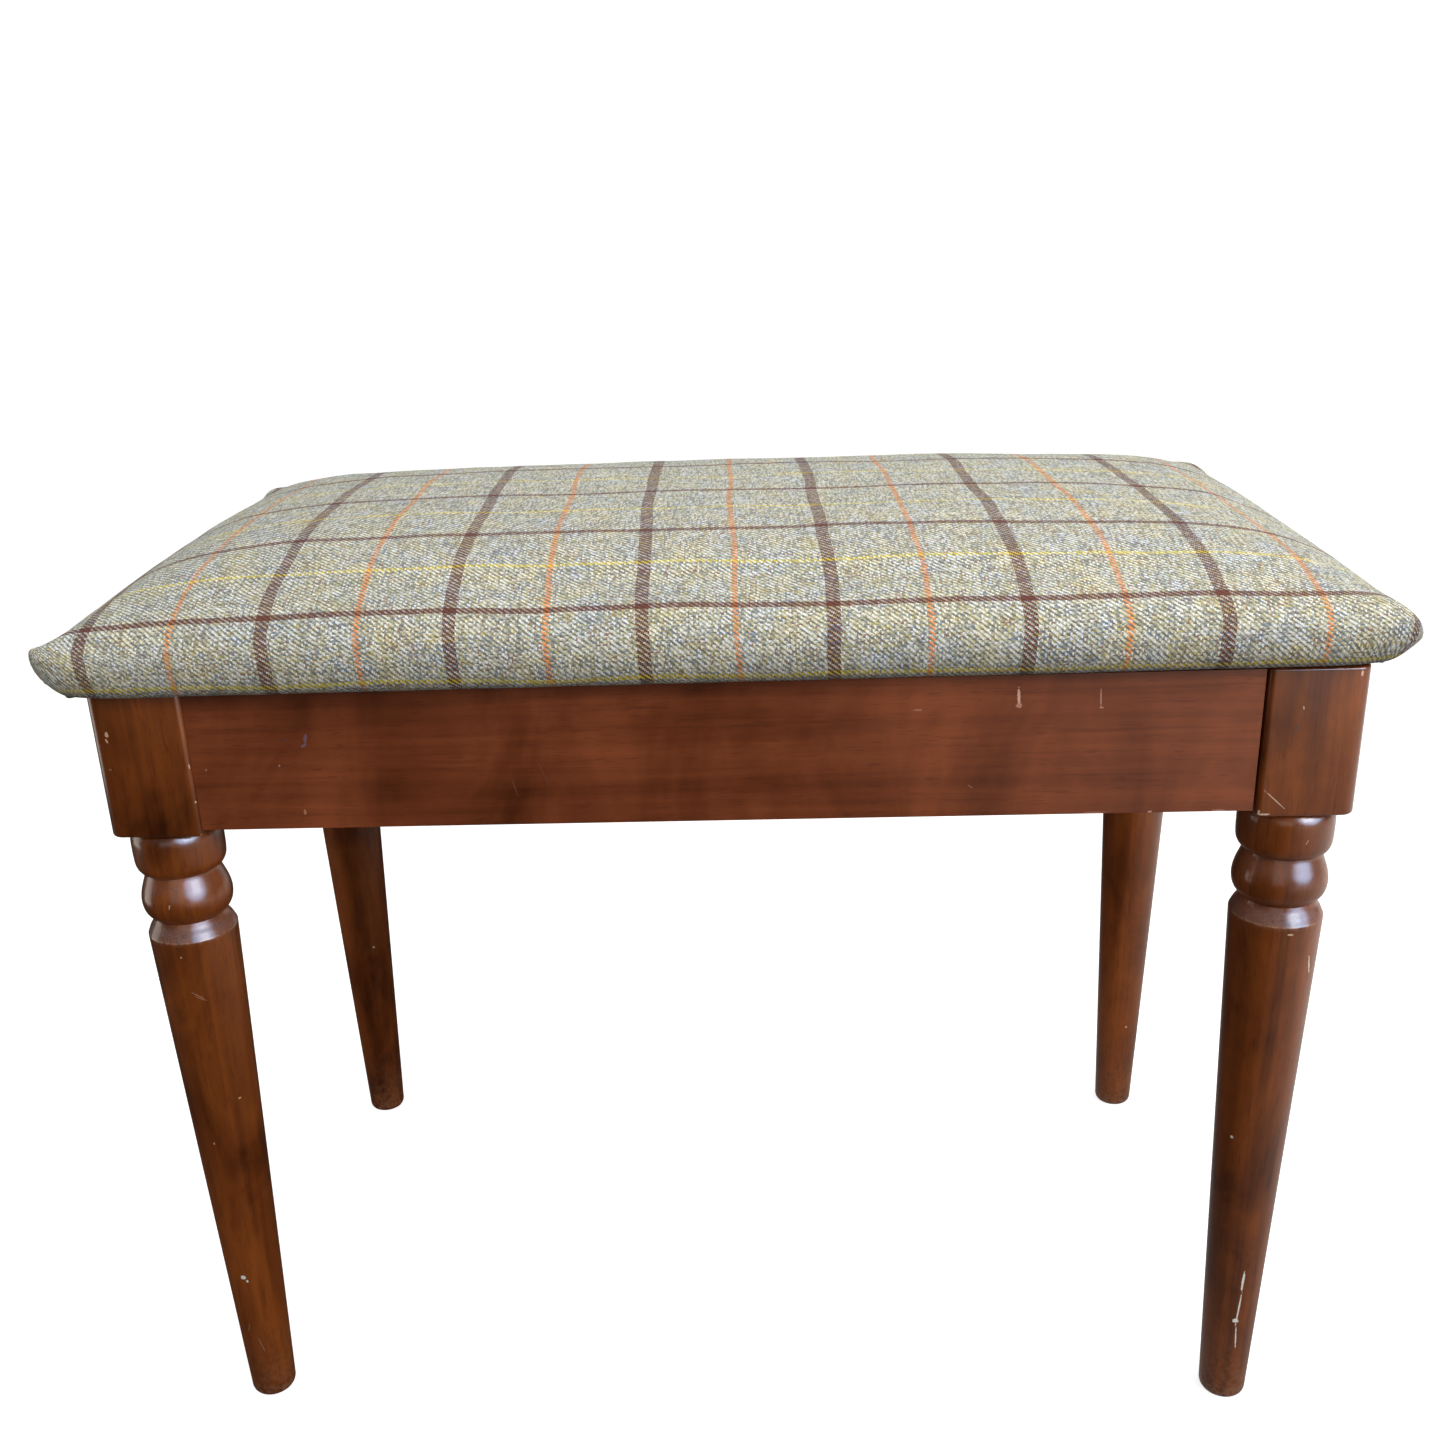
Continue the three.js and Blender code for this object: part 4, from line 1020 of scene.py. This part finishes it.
def top_surface():
    """The cover's top as a grid of points, and the cloth coordinates of its rows and columns."""
    cloth_x, share_x = cloth_axis(LEFT, RIGHT)
    cloth_y, share_y = cloth_axis(FRONT, REAR)
    a, b = np.meshgrid(share_x, share_y, indexing="ij")
    half_x = np.where(a < 0, -LEFT, RIGHT)
    half_y = np.where(b < 0, -FRONT, REAR)
    front_x, front_out = edge_curve(a, half_x, half_y, CORNER_RADIUS)
    side_y, side_out = edge_curve(b, half_y, half_x, CORNER_RADIUS)
    corner = CORNER_RADIUS * (1 - math.sqrt(0.5))
    x = front_x + a * (side_out - (half_x - corner))
    y = side_y + b * (front_out - (half_y - corner))
    inset_x = half_x * (1 - np.abs(a))
    inset_y = half_y * (1 - np.abs(b))
    p = SOFT_CORNER
    inset = (np.maximum(inset_x, 1e-9) ** -p + np.maximum(inset_y, 1e-9) ** -p) ** (-1 / p)
    away = np.hypot(inset_x, inset_y)
    z = BULGE_Z + crown(inset)
    drop = np.where(b > 0, REAR_DROP, np.where(a > 0, RIGHT_DROP, CORNER_DROP))
    z -= drop * np.exp(-(away / CORNER_REACH) ** 2) * np.clip(inset / DROP_FADE, 0, 1)
    z -= x / LID_X * FULLER_LEFT * np.clip(inset / (5 * DROP_FADE), 0, 1)
    z += np.where(a < 0, NOSE_LEFT, NOSE_RIGHT) * np.exp(-(away / NOSE_REACH) ** 2)
    plump = np.where(b > 0, PLUMP_REAR, np.where(a < 0, 0, PLUMP_RIGHT))
    z += plump * np.exp(-((away - PLUMP_AT) / PLUMP_REACH) ** 2)
    return np.stack([x, y, z], -1), cloth_x, cloth_y


def rolled_rows(roll_rows, border_rows, border):
    """The rows below the bulge: (inwards, height) of each, and the cloth's length down to it."""
    drop = BULGE_Z - LID_UNDERSIDE
    angles = np.linspace(0, math.pi / 2, roll_rows + 1)[1:]
    rows = [(ROLL_IN * (1 - math.cos(t)), BULGE_Z - drop * math.sin(t)) for t in angles]
    rows += [(ROLL_IN + (border - ROLL_IN) * t, LID_UNDERSIDE)
             for t in np.linspace(0, 1, border_rows + 1)[1:]]
    down, last, travelled = [], (0.0, BULGE_Z), 0.0
    for row in rows:
        travelled += math.hypot(row[0] - last[0], row[1] - last[1])
        down.append(travelled)
        last = row
    return rows, down


def rim_of(nx, ny):
    """The grid's outer points in order, each with the side that its cloth turns down over."""
    loop = [(i, 0, "front") for i in range(nx - 1)]
    loop += [(nx - 1, j, "right") for j in range(ny - 1)]
    loop += [(i, ny - 1, "rear") for i in range(nx - 1, 0, -1)]
    loop += [(0, j, "left") for j in range(ny - 1, 0, -1)]
    return loop


TURNED_DOWN = {"front": (0, -1), "right": (1, 0), "rear": (0, 1), "left": (-1, 0)}


def cushion_shape(roll_rows=6, border_rows=4, border=BORDER):
    """The cover's outer surface as a grid over the top and strips round the edge.
    Returns vertices, faces, each face corner's place on the cloth in mm, and the flat size."""
    top, cloth_x, cloth_y = top_surface()
    nx, ny = top.shape[:2]
    index = np.arange(nx * ny).reshape(nx, ny)
    vertices = [top.reshape(-1, 3)]
    faces, cloth = [], []
    for i in range(nx - 1):
        for j in range(ny - 1):
            around = ((i, j), (i + 1, j), (i + 1, j + 1), (i, j + 1))
            faces.append(tuple(index[at] for at in around))
            cloth.append([(cloth_x[u], cloth_y[v]) for u, v in around])
    loop = rim_of(nx, ny)
    count = len(loop)
    ring = np.array([top[i, j] for i, j, _ in loop])
    tangent = np.roll(ring, -1, 0) - np.roll(ring, 1, 0)
    outward = np.stack([tangent[:, 1], -tangent[:, 0]], -1)
    outward /= np.linalg.norm(outward, axis=1)[:, None]
    rows, down = rolled_rows(roll_rows, border_rows, border)
    for inward, height in rows:
        pulled = ring[:, :2] - outward * inward
        pulled = np.clip(pulled, (LEFT + inward, FRONT + inward), (RIGHT - inward, REAR - inward))
        vertices.append(undercut(pulled, height))

    def on_cloth(k, side, extra):
        i, j, _ = loop[k]
        along, across = TURNED_DOWN[side]
        return cloth_x[i] + along * extra, cloth_y[j] + across * extra

    start = nx * ny
    previous = [index[i, j] for i, j, _ in loop]
    before = 0.0
    for extra in down:
        current = [start + k for k in range(count)]
        start += count
        for k in range(count):
            side = loop[k][2]
            n = (k + 1) % count
            faces.append((previous[k], current[k], current[n], previous[n]))
            cloth.append([on_cloth(k, side, before), on_cloth(k, side, extra),
                          on_cloth(n, side, extra), on_cloth(n, side, before)])
        previous, before = current, extra
    flat = (np.ptp(cloth_x) + 2 * down[-1], np.ptp(cloth_y) + 2 * down[-1])
    return np.concatenate(vertices), faces, eased(np.array(cloth) / MM), flat


def eased(cloth):
    """The cloth was laid a little askew, eased over the front edge, and bowed at its ends."""
    cloth[..., 0] += SKEW * (cloth[..., 1] + 175)
    cloth[..., 1] = np.interp(cloth[..., 1], EASED_AT, EASED_TO)
    front = np.clip((-100 - cloth[..., 1]) / 60, 0, 1) * np.clip((215 + cloth[..., 1]) / 30, 0, 1)
    ends = np.maximum(cloth[..., 0] / 320, -0.55 * cloth[..., 0] / 320) ** 2
    cloth[..., 1] -= BOWED * front * ends
    return cloth


def undercut(points, height):
    """Below its widest line the cloth is cut back: at the corners, and along the front, where
    it is pulled further under towards the right."""
    mid_x, mid_y = (LEFT + RIGHT) / 2, (FRONT + REAR) / 2
    half_x, half_y = (RIGHT - LEFT) / 2, (REAR - FRONT) / 2
    from_corner = np.hypot(half_x - np.abs(points[:, 0] - mid_x),
                           half_y - np.abs(points[:, 1] - mid_y))
    near = np.exp(-(from_corner / (20 * MM)) ** 2)
    low = (BULGE_Z - height) / (BULGE_Z - LID_UNDERSIDE)
    back = near * (0.25 + 0.75 * low) * TUCK
    direction = np.sign(points - (mid_x, mid_y)) * (0.8, 0.6)
    moved = points - direction * back[:, None]
    at_front = np.clip((-points[:, 1] - 120 * MM) / (45 * MM), 0, 1)
    under = (1 - math.sqrt(max(0, 1 - low ** 2))) * at_front
    moved[:, 1] += under * (FRONT_UNDER + FRONT_UNDER_RIGHT * points[:, 0] / LID_X)
    return np.column_stack([moved, np.full(len(points), height)])


def cloth_object(name, material, vertices, faces, cloth):
    made = make_object(name, vertices, faces, material, smooth=False)
    attribute = made.data.attributes.new("weave", "FLOAT_VECTOR", "CORNER")
    flat = np.zeros((len(made.data.loops), 3), np.float32)
    flat[:, :2] = cloth.reshape(-1, 2)
    attribute.data.foreach_set("vector", flat.ravel())
    smooth_all(made.data)
    return made


def settle_cloth(obj, frames=20, most=2.4 * MM):
    """Lets the stretched top find its own hollows and fullness over the springy foam, by cloth
    simulation. Its rim is held, where the padding is firm, and no point moves as far as most.
    Returns how far each point of the top has moved, because the foam gives way under it."""
    rest = coordinates(obj.data)
    on_top = rest[:, 2] > BULGE_Z - 0.01 * MM
    number = np.cumsum(on_top) - 1
    faces = [[number[v] for v in polygon.vertices] for polygon in obj.data.polygons
             if all(on_top[v] for v in polygon.vertices)]
    start = rest[on_top]
    sheet = make_object("settling_sheet", start, faces, None, smooth=False)
    group = sheet.vertex_groups.new(name="held")
    rise = np.clip((start[:, 2] - BULGE_Z) / (16 * MM), 0, 1)
    for i, weight in enumerate(1 - 0.93 * rise):
        group.add([i], float(weight), "REPLACE")
    cloth = sheet.modifiers.new("cloth", "CLOTH")
    settings = cloth.settings
    settings.quality = 5
    settings.mass = 0.35
    settings.tension_stiffness = 15
    settings.compression_stiffness = 6
    settings.shear_stiffness = 3
    settings.bending_stiffness = 0.2
    settings.vertex_group_mass = "held"
    settings.pin_stiffness = 0.5
    settings.shrink_min = -0.003
    settings.use_pressure = True
    settings.uniform_pressure_force = 0.25
    settings.effector_weights.gravity = 0.0
    cloth.collision_settings.use_collision = False
    cloth.point_cache.frame_end = frames
    scene = bpy.context.scene
    for step in range(1, frames + 1):
        scene.frame_set(step)
    graph = bpy.context.evaluated_depsgraph_get()
    co = np.zeros(len(start) * 3)
    sheet.evaluated_get(graph).data.vertices.foreach_get("co", co)
    moved = co.reshape(-1, 3) - start
    moved[:, 2] -= rise * np.median(moved[:, 2])
    bpy.data.objects.remove(sheet)
    scene.frame_set(1)
    length = np.linalg.norm(moved, axis=1)[:, None]
    moved *= most / (most + length)
    rest[on_top] += moved
    obj.data.vertices.foreach_set("co", rest.ravel())
    obj.data.update()
    return moved


def value_noise(points, scale, seed):
    """Smooth noise in -1..1, for numpy arrays of points."""
    shift = Vector((seed * 13.7, seed * 7.3, seed * 3.1))
    return np.array([noise.noise(Vector(p) * scale + shift) for p in points])


def work_cushion(obj):
    """Hand work on the settled cover: uneven padding, pulls at the staples, folded corners, and a
    painted shade that darkens the cloth towards the underside.
    """
    co = coordinates(obj.data)
    x, y, z = co.T
    top = np.clip((z - BULGE_Z) / (LID_TOP - BULGE_Z), 0, 1)
    lump = value_noise(co, 14, 1) + value_noise(co, 34, 2) * 0.35
    co[:, 2] += lump * MM * np.clip(top * 1.4, 0, 1) * 0.9
    low = np.clip(1 - (z - LID_UNDERSIDE) / (22 * MM), 0, 1) * (z > LID_UNDERSIDE + 0.5 * MM)
    pull = value_noise(co * np.array([1, 1, 0.15]), 42, 3)
    outward = np.stack([np.sign(x) * (LID_X - np.abs(x) < LID_Y - np.abs(y)),
                        np.sign(y) * (LID_X - np.abs(x) >= LID_Y - np.abs(y))], -1)
    co[:, :2] += outward * (pull * 0.7 * MM * low)[:, None]
    fold_corners(co)
    # Painted shade, strongest at the underside, kept for the tweed's colour.
    painted_underside_shade = np.exp(-np.maximum(0, co[:, 2] - LID_UNDERSIDE) / (6 * MM))
    write_attribute(obj.data, "painted_underside_shade", painted_underside_shade)
    obj.data.vertices.foreach_set("co", co.ravel())
    obj.data.update()


def fold_corners(co):
    """The cloth is gathered at each corner: a blunt nose, with a tuck just round the side."""
    for sx, sy in CORNERS.values():
        ax = (co[:, 0] * sx - (LID_X - CORNER_RADIUS)) / CORNER_RADIUS
        ay = (co[:, 1] * sy - (LID_Y - CORNER_RADIUS)) / CORNER_RADIUS
        near = (ax > -0.6) & (ay > -0.6)
        angle = np.arctan2(np.maximum(ay, 0), np.maximum(ax, 1e-6))
        band = np.clip((BULGE_Z + 10 * MM - co[:, 2]) / (12 * MM), 0, 1)
        above_seam = np.clip((co[:, 2] - LID_UNDERSIDE) / (2 * MM), 0, 1)
        bite = np.exp(-((angle - math.radians(38)) / 0.13) ** 2) * 2.6 * MM
        fuller = np.exp(-((angle - math.radians(52)) / 0.25) ** 2) * 1.2 * MM
        push = (fuller - bite) * band * above_seam * near
        direction = np.stack([sx * np.cos(angle), sy * np.sin(angle)], -1)
        co[:, :2] += direction * push[:, None]


def build_cushion():
    vertices, faces, cloth, flat = cushion_shape()
    cover = cloth_object("tweed_cover_fitted", tweed("tweed"), vertices, faces, cloth)
    settled = settle_cloth(cover)
    finer = cover.modifiers.new("finer", "SUBSURF")
    finer.levels = finer.render_levels = 1
    apply_modifiers(cover)
    work_cushion(cover)
    thicken(cover, 0.8 * MM, -1)
    finish_piece(cover, "lid", "tweed", "tweed_cover")
    build_foam(settled)
    build_board()
    build_dust_cover()


def build_foam(settled):
    """The pad under the cover: the same crown, a little smaller, flat on the board, and pressed
    down wherever the cover has settled."""
    vertices, faces, _, _ = cushion_shape(roll_rows=4, border_rows=1, border=9 * MM)
    shrink = 3.0 * MM
    base = board_high.z + 0.2 * MM
    co = np.array(vertices)
    if settled is not None:
        co[:len(settled)] += settled
    co[:, 0] *= (LID_X - shrink) / LID_X
    co[:, 1] *= (LID_Y - shrink) / LID_Y
    co[:, 2] = np.maximum(co[:, 2] - shrink, base)
    bm = bmesh.new()
    verts = [bm.verts.new(p) for p in co]
    bm.verts.ensure_lookup_table()
    for face in faces:
        bm.faces.new([verts[i] for i in face])
    rim = [e for e in bm.edges if len(e.link_faces) == 1]
    bmesh.ops.contextual_create(bm, geom=rim)
    bmesh.ops.dissolve_degenerate(bm, dist=1e-5, edges=bm.edges)
    bmesh.ops.triangulate(bm, faces=[f for f in bm.faces if len(f.verts) > 4])
    foam = from_bmesh("foam_pad_shaped", bm, open_foam("foam"), 40)
    finish_piece(foam, "lid", "foam", "foam_pad")


BOARD_LEFT, BOARD_RIGHT = -312 * MM, 309 * MM
BOARD_FRONT, BOARD_REAR = -174 * MM, 180 * MM
BOARD_CORNER = 30 * MM


def build_board():
    """The plywood board, its corners rounded so that the gathered cloth can pass under them."""
    middle = ((BOARD_LEFT + BOARD_RIGHT) / 2, (BOARD_FRONT + BOARD_REAR) / 2)
    half = ((BOARD_RIGHT - BOARD_LEFT) / 2, (BOARD_REAR - BOARD_FRONT) / 2)
    worn = 0.8 * MM
    rings = []
    edge = ((0, worn), (0.3 * MM, worn * 0.3), (worn, 0))
    lower = [(board_low.z + up, inset) for up, inset in edge]
    upper = [(board_high.z - up, inset) for up, inset in reversed(edge)]
    for z, inset in lower + upper:
        outline = rounded_outline(half[0] - inset, half[1] - inset, [BOARD_CORNER - inset] * 4, 10)
        rings.append([(x + middle[0], y + middle[1], z) for x, y in outline])
    bm = bmesh.new()
    loft_mesh(bm, rings)
    board = from_bmesh("lid_board_rounded", bm, plain_ply("board_ply"), 40)
    finish_piece(board, "lid", "plywood", "lid_board")


def build_dust_cover():
    """Thin black cloth over the board's underside, pulled tight between its staples."""
    low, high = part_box("dust_cover")
    cloth = woven_plain("cambric", (0.012, 0.012, 0.012), 0.7, (0.021, 0.021, 0.021))
    xs = np.linspace(low.x, high.x, 97)
    ys = np.linspace(low.y, high.y, 53)
    x, y = np.meshgrid(xs, ys, indexing="ij")
    to_edge = np.minimum(high.x - np.abs(x), high.y - np.abs(y))
    slack = np.clip(to_edge / (40 * MM), 0, 1)
    points = np.stack([x, y, np.zeros_like(x)], -1).reshape(-1, 3)
    wave = value_noise(points * np.array([1, 2.2, 1]), 9, 5) + 0.4 * value_noise(points, 40, 6)
    z = high.z - 0.1 * MM - (0.22 + 0.2 * wave.reshape(x.shape)) * MM * slack
    z = np.clip(z, low.z + 0.35 * MM, high.z)
    index = np.arange(x.size).reshape(x.shape)
    faces = [(index[i, j], index[i, j + 1], index[i + 1, j + 1], index[i + 1, j])
             for i in range(len(xs) - 1) for j in range(len(ys) - 1)]
    cover = make_object("dust_cover_stapled", np.stack([x, y, z], -1).reshape(-1, 3), faces, cloth)
    thicken(cover, 0.25 * MM, 0)
    finish_piece(cover, "lid", "cambric", "dust_cover")


# ------------------------------------------------------------------ stage, light, camera
CAMERA_AT = Vector((0.02765, -0.84815, 0.65748))
CAMERA_AIM = Vector((-0.02323, 0, 0.31991))
CAMERA_ROLL = -2.415          # degrees off level
LENS = 37.871
LENS_SHIFT = (0.02235, 0.04339)


def build_camera():
    data = bpy.data.cameras.new("camera")
    camera = add_object("camera", data)
    data.sensor_width = 36
    data.lens = LENS
    data.shift_x, data.shift_y = LENS_SHIFT
    level = (CAMERA_AIM - CAMERA_AT).to_track_quat("-Z", "Y").to_matrix().to_4x4()
    roll = Matrix.Rotation(math.radians(CAMERA_ROLL), 4, "Z")
    camera.matrix_world = Matrix.Translation(CAMERA_AT) @ level @ roll
    bpy.context.scene.camera = camera


def area_light(name, at, toward, size, power, color=(1, 1, 1)):
    data = bpy.data.lights.new(name, "AREA")
    data.shape = "RECTANGLE"
    data.size, data.size_y = size
    data.energy = power
    data.color = color
    light = add_object(name, data)
    light.location = at
    light.rotation_mode = "QUATERNION"
    light.rotation_quaternion = (Vector(toward) - Vector(at)).to_track_quat("-Z", "Y")
    return light


WINDOW = (0.64, -0.64, 0.42)          # where a polished surface sees the bright sky


def build_world():
    """White behind the bench. Diffuse surfaces get a soft sky, and polished ones see a broad,
    soft-edged window in it."""
    world = bpy.data.worlds.new("studio")
    bpy.context.scene.world = world
    world.use_nodes = True
    tree = world.node_tree
    tree.nodes.clear()

    def node(kind, inputs, **settings):
        made = tree.nodes.new("ShaderNode" + kind)
        for key, value in settings.items():
            setattr(made, key, value)
        for key, value in inputs.items():
            if isinstance(value, bpy.types.NodeSocket):
                tree.links.new(value, made.inputs[key])
            else:
                made.inputs[key].default_value = value
        return made.outputs

    toward = node("TexCoord", {})["Generated"]
    up = node("SeparateXYZ", {0: toward})[2]
    sky_color = node("MapRange", {0: up, 1: 0.0, 2: 0.8, 3: 0.05, 4: 0.46})[0]
    sky = node("Background", {0: (0.95, 0.98, 1, 1), 1: sky_color})[0]
    facing = node("VectorMath", {0: toward, 1: Vector(WINDOW).normalized()},
                  operation="DOT_PRODUCT")["Value"]
    glare = node("MapRange", {0: facing, 1: 0.83, 2: 0.97, 3: 0.0, 4: 20.0},
                 interpolation_type="SMOOTHSTEP")[0]
    window = node("Background", {0: (0.43, 0.66, 1, 1), 1: glare})[0]
    shiny = node("AddShader", {0: sky, 1: window})[0]
    backdrop = node("Background", {0: (1, 1, 1, 1)})[0]
    rays = node("LightPath", {})
    lit = node("MixShader", {0: rays["Is Glossy Ray"], 1: sky, 2: shiny})[0]
    seen = node("MixShader", {0: rays["Is Camera Ray"], 1: lit, 2: backdrop})[0]
    node("OutputWorld", {0: seen})


def build_stage():
    build_world()
    area_light("key", (1.35, -1.6, 1.3), (0, 0, 0.35), (0.9, 0.9), 30, (1, 0.97, 0.93))
    area_light("fill", (-0.5, -2.6, 0.8), (0, 0, 0.35), (1.6, 1.0), 6, (1, 0.96, 0.92))
    area_light("overhead", (0.55, 0.1, 1.9), (0.1, 0, 0.4), (1.1, 0.8), 14, (1, 0.985, 0.93))
    area_light("left_window", (-1.3, -0.05, 0.4), (-0.3, 0, 0.25), (0.5, 0.9), 3.6, (1, 0.93, 0.85))
    g = Graph("pale_floor")
    spot = g.split(g.object_coordinates())
    bounce = g.range(spot[0], 0.05, 1.1, 0.02, 1.2)
    dull = g.node("BsdfDiffuse", {"Color": (0.16, 0.15, 0.14)})
    glow = g.node("Emission", {"Color": (1, 0.97, 0.93), "Strength": bounce})
    paper = g.node("Emission", {"Color": (1, 1, 1), "Strength": 0.8})
    soft = g.node("BsdfDiffuse", {"Color": (0.62, 0.62, 0.62)})
    seen_floor = g.node("AddShader", {0: paper.outputs[0], 1: soft.outputs[0]})
    rays = g.node("LightPath").outputs
    mirrored = g.node("MixShader", {0: rays["Is Glossy Ray"], 1: dull.outputs[0],
                                    2: glow.outputs[0]})
    floor_mix = g.node("MixShader", {0: rays["Is Camera Ray"], 1: mirrored.outputs[0],
                                     2: seen_floor.outputs[0]})
    g.tree.links.new(floor_mix.outputs[0], g.output.inputs["Surface"])
    bm = bmesh.new()
    bmesh.ops.create_grid(bm, x_segments=1, y_segments=1, size=8)
    floor = from_bmesh("floor", bm, g.material)
    floor.location.z = -0.2 * MM
    bpy.context.scene.view_settings.view_transform = "Standard"


# ------------------------------------------------------------------ assembly
build_camera()
build_stage()
build_box()
build_legs()
build_cushion()
build_hardware()
